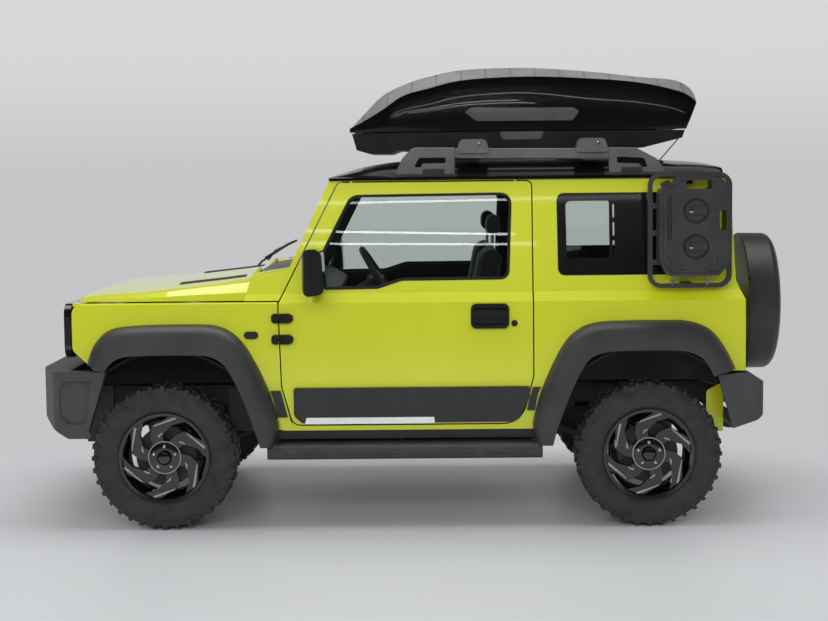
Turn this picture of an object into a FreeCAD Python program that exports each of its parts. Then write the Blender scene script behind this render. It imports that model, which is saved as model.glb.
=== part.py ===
import FreeCAD, Part
import math
import os

# Lifted short-wheelbase off-roader with a roof box, a jerry can and a spare wheel on its tailgate.
# X runs from the front to the rear, Y to the car's right, Z up. The wheels stand on Z = 0 and the
# origin is below the middle of the whole length, between bumper nose and spare wheel. Millimetres.

V = FreeCAD.Vector

# ---------------------------------------------------------------- driving dimensions
WHEELBASE = 2250.0
FRONT_OVERHANG = 655.0          # front axle to the nose of the bumper
REAR_OVERHANG = 725.0           # rear axle to the face of the spare wheel's cover
TYRE_DIAMETER = 676.0
TYRE_WIDTH = 212.0
RIM_DIAMETER = 424.0            # over the flanges
RIM_WIDTH = 190.0

BODY_WIDTH = 1475.0             # over the door skins
SHOULDER_WIDTH = BODY_WIDTH - 63        # at the foot of the side windows
GUTTER_WIDTH = BODY_WIDTH - 185         # at the roof's edge
FLARE_WIDTH = BODY_WIDTH + 170
MIRROR_WIDTH = BODY_WIDTH + 405
TRACK = BODY_WIDTH - 65
KINGPIN_SPAN = TRACK - 130      # between the two steering axes
SILL_Z = 449.0
CREASE_Z = 680.0
BELT_Z = 1048.0
SHOULDER_Z = BELT_Z + 44
GUTTER_Z = 1612.0
ROOF_Z = GUTTER_Z + 83

SIDE_WALL = 45.0                # thickness of the cab's sides
WING_THICKNESS = 30.0
POST_THICKNESS = 36.0           # hinge post behind the wing
DOOR_THICKNESS = 70.0
DOOR_GAP = 6.0                  # around every door, lid and bonnet
SEAT_GAP = 0.3                  # between pieces that lie on one another
PIN_GAP = 0.4                   # at the faces of hinges, kingpins and hubs
GLASS = 5.0

# ---------------------------------------------------------------- derived places
X_FRONT = -(FRONT_OVERHANG + WHEELBASE + REAR_OVERHANG) / 2
X_FA = X_FRONT + FRONT_OVERHANG         # front axle
X_RA = X_FA + WHEELBASE                 # rear axle
X_REAR = -X_FRONT
HUB_Z = TYRE_DIAMETER / 2
WHEEL_Y = TRACK / 2
KINGPIN_Y = KINGPIN_SPAN / 2
DOOR_Y = BODY_WIDTH / 2
FLARE_Y = FLARE_WIDTH / 2
MIRROR_Y = MIRROR_WIDTH / 2
GUTTER_Y = GUTTER_WIDTH / 2
BUMPER_Y = FLARE_Y - 22.5
SIDE_REACH = (DOOR_Y - 240, DOOR_Y + 90)        # span of a cutter through the right side

# half width, height: the side of the body from the sill up to the gutter
SECTION = (
    (DOOR_Y - 24, SILL_Z),
    (DOOR_Y, CREASE_Z),
    (DOOR_Y, BELT_Z),
    (SHOULDER_WIDTH / 2, SHOULDER_Z),
    (GUTTER_WIDTH / 2, GUTTER_Z),
)


def fa(distance):
    return X_FA + distance


def ra(distance):
    return X_RA + distance


# ---------------------------------------------------------------- shape helpers
def box(x0, x1, y0, y1, z0, z1):
    return Part.makeBox(x1 - x0, y1 - y0, z1 - z0, V(x0, y0, z0))


def rod(start, end, radius):
    along = V(*end) - V(*start)
    return Part.makeCylinder(radius, along.Length, V(*start), along)


def rounded_wire(corners, lift):
    """Closed wire through corners (u, v, radius), where the radius may be left out."""
    spots = [V(corner[0], corner[1], 0) for corner in corners]
    bends = []
    for i, corner in enumerate(corners):
        spot = spots[i]
        back = (spots[i - 1] - spot).normalize()
        ahead = (spots[(i + 1) % len(spots)] - spot).normalize()
        radius = corner[2] if len(corner) > 2 else 0
        if radius:
            half = back.getAngle(ahead) / 2
            reach = radius / math.tan(half)
            middle = spot + (back + ahead).normalize() * (radius / math.sin(half) - radius)
            bends.append((spot + back * reach, middle, spot + ahead * reach))
        else:
            bends.append((spot, None, spot))
    edges = []
    for i, (start, middle, end) in enumerate(bends):
        if middle is not None:
            arc = Part.Arc(lift(start.x, start.y), lift(middle.x, middle.y), lift(end.x, end.y))
            edges.append(arc.toShape())
        following = bends[(i + 1) % len(bends)][0]
        if (following - end).Length > 0.001:
            line = Part.LineSegment(lift(end.x, end.y), lift(following.x, following.y))
            edges.append(line.toShape())
    return Part.Wire(edges)


def shifted(corners, distance):
    """The same outline with every edge moved outwards by a distance."""
    spots = [V(corner[0], corner[1], 0) for corner in corners]
    area = sum(a.x * b.y - b.x * a.y for a, b in zip(spots, spots[1:] + spots[:1]))
    turn = 1 if area > 0 else -1
    moved = []
    for i, corner in enumerate(corners):
        before = (spots[i] - spots[i - 1]).normalize()
        after = (spots[(i + 1) % len(spots)] - spots[i]).normalize()
        out_before = V(before.y, -before.x, 0) * turn
        bisector = (out_before + V(after.y, -after.x, 0) * turn).normalize()
        spot = spots[i] + bisector * (distance / bisector.dot(out_before))
        radius = corner[2] if len(corner) > 2 else 0
        if radius:
            convex = before.cross(after).z * turn > 0
            radius = max(radius + (distance if convex else -distance), 1)
        moved.append((spot.x, spot.y, radius))
    return moved


def side_slab(corners, y0, y1):
    """Outline in x and z, carried across the car."""
    face = Part.Face(rounded_wire(corners, lambda u, v: V(u, y0, v)))
    return face.extrude(V(0, y1 - y0, 0))


def front_slab(corners, x0, x1):
    """Outline in y and z, carried along the car."""
    face = Part.Face(rounded_wire(corners, lambda u, v: V(x0, u, v)))
    return face.extrude(V(x1 - x0, 0, 0))


def plan_slab(corners, z0, z1):
    """Outline in x and y, carried upwards."""
    face = Part.Face(rounded_wire(corners, lambda u, v: V(u, v, z0)))
    return face.extrude(V(0, 0, z1 - z0))


def ruled_loft(wires):
    return Part.makeLoft(wires, True, True)


def bent_bar(points, radius, bend):
    """Round bar through points, straight between tangent arcs of one bend radius."""
    spots = [V(*point) for point in points]
    edges = []
    start = spots[0]
    for before, spot, after in zip(spots, spots[1:], spots[2:]):
        back = (before - spot).normalize()
        ahead = (after - spot).normalize()
        half = back.getAngle(ahead) / 2
        reach = bend / math.tan(half)
        middle = spot + (back + ahead).normalize() * (bend / math.sin(half) - bend)
        edges.append(Part.LineSegment(start, spot + back * reach).toShape())
        arc = Part.Arc(spot + back * reach, middle, spot + ahead * reach)
        edges.append(arc.toShape())
        start = spot + ahead * reach
    edges.append(Part.LineSegment(start, spots[-1]).toShape())
    circle = Part.makeCircle(radius, spots[0], spots[1] - spots[0])
    return Part.Wire(edges).makePipeShell([Part.Wire([circle])], True, False)


def mirrored(shape):
    return shape.mirror(V(0, 0, 0), V(0, 1, 0))


def both(shape):
    return Part.makeCompound([mirrored(shape), shape])


def joined(shapes):
    first, *others = shapes
    return first.fuse(others).removeSplitter() if others else first


def revolved(profile, centre):
    """Ring about the wheel's axis from a profile of (offset along the axis, radius)."""
    wire = Part.makePolygon([V(0, b, r) for b, r in profile + profile[:1]])
    ring = Part.Face(wire).revolve(V(0, 0, 0), V(0, 1, 0), 360)
    ring.translate(centre)
    return ring


def turned(profile, sides):
    """Solid about the wheel's axis through rings of (offset along the axis, radius) with flat sides."""
    rings = []
    for offset, radius in profile:
        turns = [2 * math.pi * i / sides for i in range(sides)]
        points = [V(radius * math.sin(turn), offset, radius * math.cos(turn)) for turn in turns]
        rings.append(Part.makePolygon(points + points[:1]))
    return ruled_loft(rings)


def export(name, shape):
    os.makedirs("parts", exist_ok=True)
    shape.exportStep(f"parts/{name}.step")


# ---------------------------------------------------------------- body sections
def half_width(z):
    """Half width of the body's side at a height."""
    for (y0, z0), (y1, z1) in zip(SECTION, SECTION[1:]):
        if z <= z1:
            return y0 + (y1 - y0) * (z - z0) / (z1 - z0)
    return SECTION[-1][0]


def side_band(x0, x1, z0, z1, outer, inner):
    """Band of the right side between two depths in from its surface."""
    heights = [z0] + [z for _, z in SECTION if z0 < z < z1] + [z1]
    outside = [(half_width(z) - outer, z) for z in heights]
    inside = [(half_width(z) - inner, z) for z in reversed(heights)]
    return front_slab(outside + inside, x0, x1)


def cab_space(x0, x1, z0, z1):
    """What lies between the two sides of the cab."""
    heights = [z0] + [z for _, z in SECTION if z0 < z < z1] + [z1]
    right = [(half_width(z) - SIDE_WALL - SEAT_GAP, z) for z in heights]
    return front_slab(right + [(-y, z) for y, z in reversed(right)], x0, x1)


# x, z down the rear face of the body, from the gutter to the floor
REAR_FACE = (
    (ra(392), GUTTER_Z),
    (ra(413), 1135.0),
    (ra(452), BELT_Z),
    (ra(454), 716.0),
)


def rear_band(z0, z1, outer, inner, y0, y1):
    """Band of the rear face between two depths forward of its surface."""
    spots = sorted(REAR_FACE, key=lambda spot: spot[1])

    def face_x(z):
        for (xa, za), (xb, zb) in zip(spots, spots[1:]):
            if z <= zb:
                return xa + (xb - xa) * (z - za) / (zb - za)
        return spots[-1][0]

    heights = [z0] + [z for _, z in spots if z0 < z < z1] + [z1]
    outside = [(face_x(z) - outer, z) for z in heights]
    inside = [(face_x(z) - inner, z) for z in reversed(heights)]
    return side_slab(outside + inside, y0, y1)


# ---------------------------------------------------------------- wheels
LUG_COUNT = 30
LUG_DEPTH = 10.0
BEAD_RADIUS = RIM_DIAMETER / 2 - 12
SPOKE_COUNT = 6
HUB_RADIUS = 72.0
DISC_RADIUS = 140.0
HUB_FACE = WHEEL_Y + 4          # where a wheel bolts to its hub
SPINDLE_RADIUS = 50.0


def lug_ring(top, offset):
    """Closed outline round the tread, stepping down between the lugs."""
    points = []
    for i in range(LUG_COUNT):
        for share, radius in ((-0.34, top), (0.34, top), (0.38, top - LUG_DEPTH), (0.62, top - LUG_DEPTH)):
            turn = 2 * math.pi * (i + share) / LUG_COUNT
            points.append(V(radius * math.sin(turn), offset, radius * math.cos(turn)))
    return Part.makePolygon(points + points[:1])


def tyre():
    """Off-road tyre: lugs that run over both shoulders, and flanks dished in to the beads."""
    half = TYRE_WIDTH / 2
    outer = TYRE_DIAMETER / 2
    bead = BEAD_RADIUS + SEAT_GAP
    rim_half = RIM_WIDTH / 2 - 9
    shoulders = ((-half + 2, outer - 16), (-half + 12, outer), (half - 12, outer), (half - 2, outer - 16))
    tread = ruled_loft([lug_ring(top, offset) for offset, top in shoulders])
    belly = turned(((-half, outer - 62), (-half + 8, outer - 26), (half - 8, outer - 26),
        (half, outer - 62)), LUG_COUNT)
    dish = ((-half - 1, outer - 55), (-half, outer - 62), (-rim_half - 12, bead + 26), (-rim_half, bead + 13))
    left_dish = turned(dish, LUG_COUNT)
    right_dish = turned([(-offset, radius) for offset, radius in reversed(dish)], LUG_COUNT)
    bore = turned(((-half, bead), (half, bead)), LUG_COUNT)
    return joined([tread, belly]).cut(left_dish).cut(right_dish).cut(bore)


def polar(radius, degrees):
    """Point on the wheel's face, as seen from outside, clockwise from the top."""
    turn = math.radians(degrees)
    return radius * math.sin(turn), radius * math.cos(turn)


def rim():
    """Cast wheel: six swept spokes that rise from the hub and end in the barrel."""
    half = RIM_WIDTH / 2
    flange = RIM_DIAMETER / 2
    seat = BEAD_RADIUS
    outside = (
        (-half, flange), (-half + 8, flange), (-half + 9, seat), (-half + 42, seat), (-half + 60, seat - 20),
        (half - 60, seat - 20), (half - 42, seat), (half - 9, seat), (half - 8, flange), (half, flange),
    )
    inside = (
        (-half - 1, seat - 6), (-half + 38, seat - 10), (-half + 56, seat - 28), (half - 56, seat - 28),
        (half - 40, seat - 8),
        (half + 1, seat - 8),
    )
    barrel = turned(outside, LUG_COUNT).cut(turned(inside, LUG_COUNT))
    # radius, degrees clockwise: one hooked spoke from the hub out to the barrel
    hook = ((HUB_RADIUS - 10, -50), (152, -20), (seat - 4, 14), (seat - 4, 30), (150, 12), (104, -2),
        (HUB_RADIUS - 10, 0))
    outline = [polar(radius, angle) for radius, angle in hook]
    spoke = side_slab(outline, -half + 18, -half + 48)
    spokes = []
    for i in range(SPOKE_COUNT):
        placed = spoke.copy()
        placed.rotate(V(0, 0, 0), V(0, 1, 0), 360 / SPOKE_COUNT * i)
        spokes.append(placed)
    hub = rod((0, -half + 14, 0), (0, -half + 60, 0), HUB_RADIUS)
    cap = rod((0, -half - 2, 0), (0, -half + 14, 0), 30)
    disc = rod((0, -half + 60, 0), (0, -half + 72, 0), DISC_RADIUS)
    stub = rod((0, -half + 72, 0), (0, WHEEL_Y - HUB_FACE, 0), 55)
    return joined([barrel, hub, cap, disc, stub] + spokes)


def wheels():
    tyre_shape = tyre()
    rim_shape = rim()
    # name, x of the axle, side: -1 left, 1 right
    places = (
        ("front_left", X_FA, -1),
        ("front_right", X_FA, 1),
        ("rear_left", X_RA, -1),
        ("rear_right", X_RA, 1),
    )
    for name, x, side in places:
        for kind, shape in (("tyre", tyre_shape), ("rim", rim_shape)):
            placed = shape.copy()
            if side > 0:
                placed.rotate(V(0, 0, 0), V(0, 0, 1), 180)
            placed.translate(V(x, side * WHEEL_Y, HUB_Z))
            export(f"{kind}_{name}", placed)


# ---------------------------------------------------------------- axles and steering
AXLE_RADIUS = 38.0
ARM_RADIUS = 20.0
SPRING_Y = 370.0
DAMPER_Y = 432.0
DAMPER_FOOT = HUB_Z + 14
DAMPER_PIN_Z = 585.0
DAMPER_LEAN = 90.0              # damper ahead of or behind its axle
YOKE_HALF = 74.0
EAR_HEIGHT = 96.0               # knuckle's ears above and below the hub
STEER_ARM = 140.0
TIE_PIN_Y = KINGPIN_Y - 52
TIE_ROD_RADIUS = 13.0


def axle_tube(x, reach, diff_y):
    """Beam with its differential housing and the nose that its shaft enters."""
    inward = 1 if x == X_FA else -1
    tube = rod((x, -reach, HUB_Z), (x, reach, HUB_Z), AXLE_RADIUS)
    bowl = [(-86, 44), (-62, 76), (-24, 94), (24, 94), (62, 76), (86, 44)]
    housing = revolved([(-86, 0)] + bowl + [(86, 0)], V(x, diff_y, HUB_Z))
    nose = rod((x, diff_y, HUB_Z), (x + inward * 130, diff_y, HUB_Z), 44)
    x0, x1 = sorted((x, x + inward * (DAMPER_LEAN + 24)))
    feet = both(box(x0, x1, DAMPER_Y - 20, DAMPER_Y + 20, HUB_Z - 14, DAMPER_FOOT))
    return joined([tube, housing, nose] + feet.Solids)


def front_axle():
    """Front beam with the two yokes that the knuckles turn on."""
    yokes = []
    for side in (-1, 1):
        y0, y1 = sorted((side * (KINGPIN_Y - 46), side * (KINGPIN_Y + 14)))
        yokes.append(box(fa(-34), fa(34), y0, y1, HUB_Z - YOKE_HALF, HUB_Z + YOKE_HALF))
    return joined([axle_tube(X_FA, KINGPIN_Y - 30, 120)] + yokes)


def rear_axle():
    reach = HUB_FACE - PIN_GAP
    flanges = []
    for side in (-1, 1):
        flanges.append(rod((X_RA, side * (reach - 20), HUB_Z), (X_RA, side * reach, HUB_Z), SPINDLE_RADIUS))
    return joined([axle_tube(X_RA, reach, 0)] + flanges)


def knuckle():
    """Right-hand steering knuckle: two ears over the yoke, an upright and the steering arm."""
    upright = box(fa(-40), fa(40), KINGPIN_Y + 36, KINGPIN_Y + 58, HUB_Z - EAR_HEIGHT, HUB_Z + EAR_HEIGHT)
    top = box(fa(-30), fa(30), KINGPIN_Y - 30, KINGPIN_Y + 58, HUB_Z + YOKE_HALF + 5, HUB_Z + EAR_HEIGHT)
    low = box(fa(-30), fa(30), KINGPIN_Y - 30, KINGPIN_Y + 58, HUB_Z - EAR_HEIGHT, HUB_Z - YOKE_HALF - 5)
    arm = plan_slab(
        ((fa(-30), KINGPIN_Y + 40), (fa(-30), KINGPIN_Y - 20), (fa(-STEER_ARM - 18), TIE_PIN_Y - 16, 12),
         (fa(-STEER_ARM - 18), TIE_PIN_Y + 18, 12), (fa(-40), KINGPIN_Y + 40)),
        HUB_Z - EAR_HEIGHT, HUB_Z - EAR_HEIGHT + 16)
    spindle = rod((X_FA, KINGPIN_Y + 40, HUB_Z), (X_FA, HUB_FACE - PIN_GAP, HUB_Z), SPINDLE_RADIUS)
    pins = []
    for side in (-1, 1):
        start = HUB_Z + side * (YOKE_HALF + PIN_GAP)
        pins.append(rod((X_FA, KINGPIN_Y, start), (X_FA, KINGPIN_Y, HUB_Z + side * (EAR_HEIGHT - 2)), 16))
    return joined([upright, top, low, arm, spindle] + pins)


def tie_rod():
    """Rod between the steering arms: pinned to the left one, lying free under the right one."""
    z = HUB_Z - EAR_HEIGHT - 22
    bar = rod((fa(-STEER_ARM), -TIE_PIN_Y, z), (fa(-STEER_ARM), TIE_PIN_Y, z), TIE_ROD_RADIUS)
    ends = []
    for side, gap in ((-1, PIN_GAP), (1, 2)):
        spot = (fa(-STEER_ARM), side * TIE_PIN_Y)
        ends.append(rod((*spot, z - 16), (*spot, HUB_Z - EAR_HEIGHT - gap), 19))
    return joined([bar] + ends)


# ---------------------------------------------------------------- chassis
FLOOR_Z = 545.0
LOAD_Z = 700.0
PAN = 12.0                      # thickness of floor, firewall and tunnel
RAIL_Y0 = 340.0
RAIL_Y1 = 400.0
RAIL_DEPTH = 100.0


TOW_HOLE = 14.0
TOW_PLATE = 16.0
TOW_FRONT = (fa(-352), 405.0)    # x and z of the towing holes
TOW_REAR = (ra(452), 424.0)


def tow_eye(root_x, root_z, x, z):
    """Towing eye under the end of the left rail: a plate with a hole across the car."""
    y = -RAIL_Y1 + 12
    side = 1 if x > root_x else -1
    outline = (
        (root_x - side * 40, root_z + 40), (root_x - side * 40, root_z), (x - side * 30, z - 30, 30),
        (x + side * 30, z - 30, 30), (x + side * 30, z + 34), (root_x + side * 40, root_z),
        (root_x + side * 40, root_z + 40),
    )
    plate = side_slab(outline, y, y + TOW_PLATE)
    return plate.cut(rod((x, y - 1, z), (x, y + TOW_PLATE + 1, z), TOW_HOLE))


def ladder_frame():
    # x, z of the rails' underside
    under = (
        (fa(-560), 500), (fa(-330), 525), (fa(280), 525), (fa(450), 425),
        (ra(-440), 425), (ra(-300), 530), (ra(260), 530), (ra(400), 500),
    )
    outline = list(under) + [(x, z + RAIL_DEPTH) for x, z in reversed(under)]
    rails = [side_slab(outline, RAIL_Y0, RAIL_Y1), side_slab(outline, -RAIL_Y1, -RAIL_Y0)]
    # x, z, radius of the cross tubes
    tubes = (
        (fa(-500), 555, 30), (fa(1300), 445, 20), (ra(-330), 525, 26), (ra(360), 560, 30),
    )
    crossing = [rod((x, -RAIL_Y1 + 20, z), (x, RAIL_Y1 - 20, z), radius) for x, z, radius in tubes]
    mounts = []
    for x in (fa(560), fa(1050), fa(1560)):
        for side in (-1, 1):
            y = side * (RAIL_Y0 + RAIL_Y1) / 2
            mounts.append(rod((x, y, 520), (x, y, FLOOR_Z - PAN - SEAT_GAP), 24))
    eyes = [tow_eye(fa(-345), 520, *TOW_FRONT), tow_eye(ra(345), 520, *TOW_REAR)]
    return joined(rails + crossing + mounts + eyes)


def springs_and_dampers():
    """Coil springs as sleeves between axle and rail, and the dampers beside them."""
    units = []
    # axle, underside of the rail over it, place of the damper along the car
    for x, rail_z, damper_x in ((X_FA, 525, X_FA + DAMPER_LEAN), (X_RA, 530, X_RA - DAMPER_LEAN)):
        low = HUB_Z + AXLE_RADIUS + SEAT_GAP
        sleeve = rod((x, SPRING_Y, low), (x, SPRING_Y, rail_z - SEAT_GAP), 52)
        units.append(both(sleeve.cut(rod((x, SPRING_Y, low - 1), (x, SPRING_Y, rail_z), 38))))
        tube = rod((damper_x, DAMPER_Y, DAMPER_FOOT + SEAT_GAP), (damper_x, DAMPER_Y, 490), 20)
        piston = rod((damper_x, DAMPER_Y, 490), (damper_x, DAMPER_Y, DAMPER_PIN_Z + 14), 11)
        pin = rod((damper_x, RAIL_Y1 + SEAT_GAP, DAMPER_PIN_Z), (damper_x, DAMPER_Y, DAMPER_PIN_Z), 10)
        units.append(both(joined([tube, piston, pin])))
    return Part.makeCompound(units)


def suspension_arms():
    """Trailing and leading arms from under each axle to the inner faces of the rails."""
    y = RAIL_Y0 - ARM_RADIUS - SEAT_GAP
    units = []
    for x, reach in ((X_FA, 560), (X_RA, -560)):
        arm = rod((x, y, HUB_Z - 48), (x + reach, y, 450), ARM_RADIUS)
        units.append(both(arm.cut(rod((x, 0, HUB_Z), (x, 500, HUB_Z), AXLE_RADIUS + SEAT_GAP))))
    return Part.makeCompound(units)


ENGINE_REAR = fa(240)


def engine():
    return box(fa(-300), ENGINE_REAR, -170, 170, 520, 930)


def drivetrain():
    """Gearbox and transfer box behind the engine, with a propeller shaft to each axle."""
    gearbox = rod((ENGINE_REAR - 40, 0, 610), (fa(820), 0, 560), 90)
    transfer = rod((fa(820), 0, 560), (fa(1060), 0, 545), 104)
    front_shaft = rod((fa(880), 80, 500), (X_FA + 138, 120, HUB_Z + 6), 22)
    rear_shaft = rod((fa(1040), 0, 540), (X_RA - 140, 0, HUB_Z + 6), 26)
    engine_space = box(ENGINE_REAR - 200, ENGINE_REAR + SEAT_GAP, -400, 400, 300, 900)
    return joined([gearbox, transfer, front_shaft, rear_shaft]).cut(engine_space)


def fuel_tank():
    corners = ((ra(-500), -60), (ra(-150), -60), (ra(-150), -270), (ra(-500), -270))
    tank = plan_slab([(x, y, 40) for x, y in corners], 350, 488)
    lug = box(ra(-470), ra(-430), -RAIL_Y0 + SEAT_GAP, -260, 466, 486)
    strap = box(ra(-345), ra(-315), -200, -120, 480, 499 - SEAT_GAP)
    return joined([tank, lug, strap])


def exhaust():
    """Pipe along the right rail, over the rear axle and out below the bumper."""
    route = (
        (fa(230), 230, 470), (fa(620), 230, 390), (ra(-420), 230, 390), (ra(-200), 250, 455),
        (ra(200), 250, 455), (ra(420), 430, 425), (ra(575), 440, 422),
    )
    pipe = bent_bar(route, 23, 60)
    silencer = rod((ra(-900), 222, 390), (ra(-560), 222, 390), 52)
    hangers = []
    for x in (fa(700), ra(-640)):
        hangers.append(box(x, x + 12, 218, 242, 405, 446))
        hangers.append(box(x, x + 12, 218, RAIL_Y0 - SEAT_GAP, 434, 446))
    return joined([pipe, silencer] + hangers)


# ---------------------------------------------------------------- cab floor and walls
TUNNEL_Y = 124.0
TUNNEL_Z = 706.0
ARCH_RADIUS = 480.0
WHEELHOUSE_Y = DOOR_Y - 257.5            # inboard wall of the rear wheelhouses


def arch_liner(x, inner_y, outer_y, front_deg, rear_deg):
    """Ribbon over a wheel, open below, with the wall inboard of the tyre."""
    centre = V(x + 10, inner_y, HUB_Z)
    outer = Part.makeCylinder(ARCH_RADIUS + 12, outer_y - inner_y, centre, V(0, 1, 0))
    inner = Part.makeCylinder(ARCH_RADIUS, outer_y - inner_y - 12, centre + V(0, 12, 0), V(0, 1, 0))
    reach = ARCH_RADIUS + 50
    keep = []
    for x0, x1, degrees in ((-reach, 0, front_deg), (0, reach, rear_deg)):
        low = HUB_Z + ARCH_RADIUS * math.sin(math.radians(degrees))
        keep.append(box(centre.x + x0, centre.x + x1, inner_y - 1, outer_y + 1, low, HUB_Z + reach))
    return outer.cut(inner).common(joined(keep))


def floor_tub():
    """Floor, firewall, tunnel, sills and wheelhouses of the cab, welded into one."""
    half = DOOR_Y - 24 - DOOR_THICKNESS - DOOR_GAP
    # x, z of the floor pan's top, from the firewall's foot to the tail
    line = ((fa(482), FLOOR_Z), (ra(-470), FLOOR_Z), (ra(-430), LOAD_Z), (ra(380), LOAD_Z))
    outline = list(line) + [(x, z - PAN) for x, z in reversed(line)]
    floor = side_slab(outline, -half, half)
    firewall = cab_space(fa(470), fa(482), FLOOR_Z - PAN, 1130)
    sill = box(fa(604), ra(-470), half - 12, DOOR_Y - 24 - SIDE_WALL - SEAT_GAP, SILL_Z + 2, SILL_Z + 20)
    web = box(fa(484), ra(-470), half - 12, half, SILL_Z + 2, FLOOR_Z)
    tunnel_outer = box(fa(470), fa(1300), -TUNNEL_Y, TUNNEL_Y, FLOOR_Z - PAN, TUNNEL_Z)
    tunnel_inner = box(fa(460), fa(1310), PAN - TUNNEL_Y, TUNNEL_Y - PAN, FLOOR_Z - 40, TUNNEL_Z - PAN)
    shell = joined([floor, firewall, tunnel_outer] + both(sill).Solids + both(web).Solids).cut(tunnel_inner)
    outer_y = DOOR_Y - 24 - SIDE_WALL - 1
    well = Part.makeCylinder(ARCH_RADIUS, 400, V(X_RA + 10, WHEELHOUSE_Y + 12, HUB_Z), V(0, 1, 0))
    liners = both(arch_liner(X_RA, WHEELHOUSE_Y, outer_y, 40, 40))
    return joined([shell.cut(both(well))] + liners.Solids)


# ---------------------------------------------------------------- cab sides, doors
# x, z, corner radius: outline of the right door
DOOR = (
    (fa(597), SILL_Z + 28, 45), (fa(549), 660, 80), (fa(538), BELT_Z, 30), (fa(819), GUTTER_Z - 9, 30),
    (ra(-533), GUTTER_Z - 9, 25), (ra(-532), 700), (ra(-590), SILL_Z + 28, 110),
)
# x, z, corner radius: glass of the right door
DOOR_WINDOW = (
    (fa(650), SHOULDER_Z + 16, 25), (fa(876), GUTTER_Z - 67, 60), (ra(-625), GUTTER_Z - 62, 50),
    (ra(-640), SHOULDER_Z + 58, 40), (fa(1110), SHOULDER_Z + 56, 30), (fa(1000), SHOULDER_Z + 20, 30),
)
QUARTER_WINDOW = (
    (ra(-417), GUTTER_Z - 66, 34), (ra(-412), SHOULDER_Z + 71, 34),
    (ra(255), SHOULDER_Z + 71, 34), (ra(245), GUTTER_Z - 66, 34),
)
REAR_ARCH = (
    (ra(-520), 380), (ra(-470), 640, 60), (ra(-335), 920, 150), (ra(270), 920, 120), (ra(370), 700),
    (ra(370), 380),
)


def side_frame():
    """Right side of the cab: pillars, roof rail, sill, hinge post and rear quarter in one."""
    outline = (
        (fa(589), SILL_Z), (fa(589), 600), (fa(540), 1061), (fa(376), 1061), (fa(414), 1180), (fa(583), 1204),
        (fa(776), GUTTER_Z), (ra(392), GUTTER_Z), (ra(413), 1135), (ra(452), BELT_Z), (ra(454), 716),
        (ra(370), 716), (ra(370), SILL_Z),
    )
    panel = side_band(fa(370), ra(460), SILL_Z, GUTTER_Z, 0, SIDE_WALL)
    panel = panel.common(side_slab(outline, *SIDE_REACH))
    post_outline = ((fa(486), SILL_Z), (fa(486), 1085), (fa(560), 1085), (fa(600), SILL_Z))
    post = side_band(fa(480), fa(610), SILL_Z, 1090, WING_THICKNESS + SEAT_GAP,
        WING_THICKNESS + POST_THICKNESS)
    post = post.common(side_slab(post_outline, *SIDE_REACH))
    opening = side_slab(shifted(DOOR, DOOR_GAP), *SIDE_REACH)
    window = side_slab(QUARTER_WINDOW, *SIDE_REACH)
    arch = side_slab(REAR_ARCH, *SIDE_REACH)
    return joined([panel, post]).cut(opening).cut(window).cut(arch)


HINGE_X = fa(551)
HINGE_Y = DOOR_Y + 14
HINGE_Z = (882.0, 980.0)
HINGE_RADIUS = 9.0


def door_hinges(on_door):
    """Hinges of the right door: rounded covers, with the barrels on the hinge line between them."""
    parts = []
    for z in HINGE_Z:
        if on_door:
            outline = ((HINGE_X, z - 22), (HINGE_X + 36, z - 22), (HINGE_X + 54, z - 12, 8),
                       (HINGE_X + 54, z + 12, 8), (HINGE_X + 36, z + 22), (HINGE_X, z + 22))
            cover = side_slab(outline, DOOR_Y + SEAT_GAP, DOOR_Y + 24)
            swing = rod((HINGE_X, HINGE_Y, z - 8), (HINGE_X, HINGE_Y, z + 8), HINGE_RADIUS + 5)
            spans = ((z - 22, z - 8), (z + 8, z + 22))
            leaf = cover.cut(swing)
        else:
            outline = ((HINGE_X - 16, z - 22), (HINGE_X - 36, z - 22, 8), (HINGE_X - 46, z - 14, 8),
                       (HINGE_X - 46, z + 14, 8), (HINGE_X - 36, z + 22, 8), (HINGE_X - 16, z + 22))
            cover = side_slab(outline, DOOR_Y + SEAT_GAP, DOOR_Y + 24)
            arm = box(HINGE_X - 20, HINGE_X, HINGE_Y - 6, HINGE_Y + 6, z - 8 + PIN_GAP, z + 8 - PIN_GAP)
            spans = ((z - 8 + PIN_GAP, z + 8 - PIN_GAP),)
            leaf = cover.fuse(arm)
        barrels = [rod((HINGE_X, HINGE_Y, z0), (HINGE_X, HINGE_Y, z1), HINGE_RADIUS) for z0, z1 in spans]
        parts.append(joined([leaf] + barrels))
    return parts


def door_shell():
    """Right door: outer skin over a slightly smaller inner frame."""
    skin = side_band(fa(500), ra(-500), 460, GUTTER_Z - 1, 0, 20).common(side_slab(DOOR, *SIDE_REACH))
    frame = side_band(fa(500), ra(-500), 460, GUTTER_Z - 1, 20, DOOR_THICKNESS)
    frame = frame.common(side_slab(shifted(DOOR, -14), *SIDE_REACH))
    window = side_slab(DOOR_WINDOW, *SIDE_REACH)
    return joined([skin, frame]).cut(window)


def pane(outline, x0, x1, depth):
    """Flat pane of the right side that fills an outline with a seat gap."""
    z0 = SHOULDER_Z
    band = side_band(x0, x1, z0, GUTTER_Z - 5, depth, depth + GLASS)
    return band.common(side_slab(shifted(outline, -SEAT_GAP), *SIDE_REACH))


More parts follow.
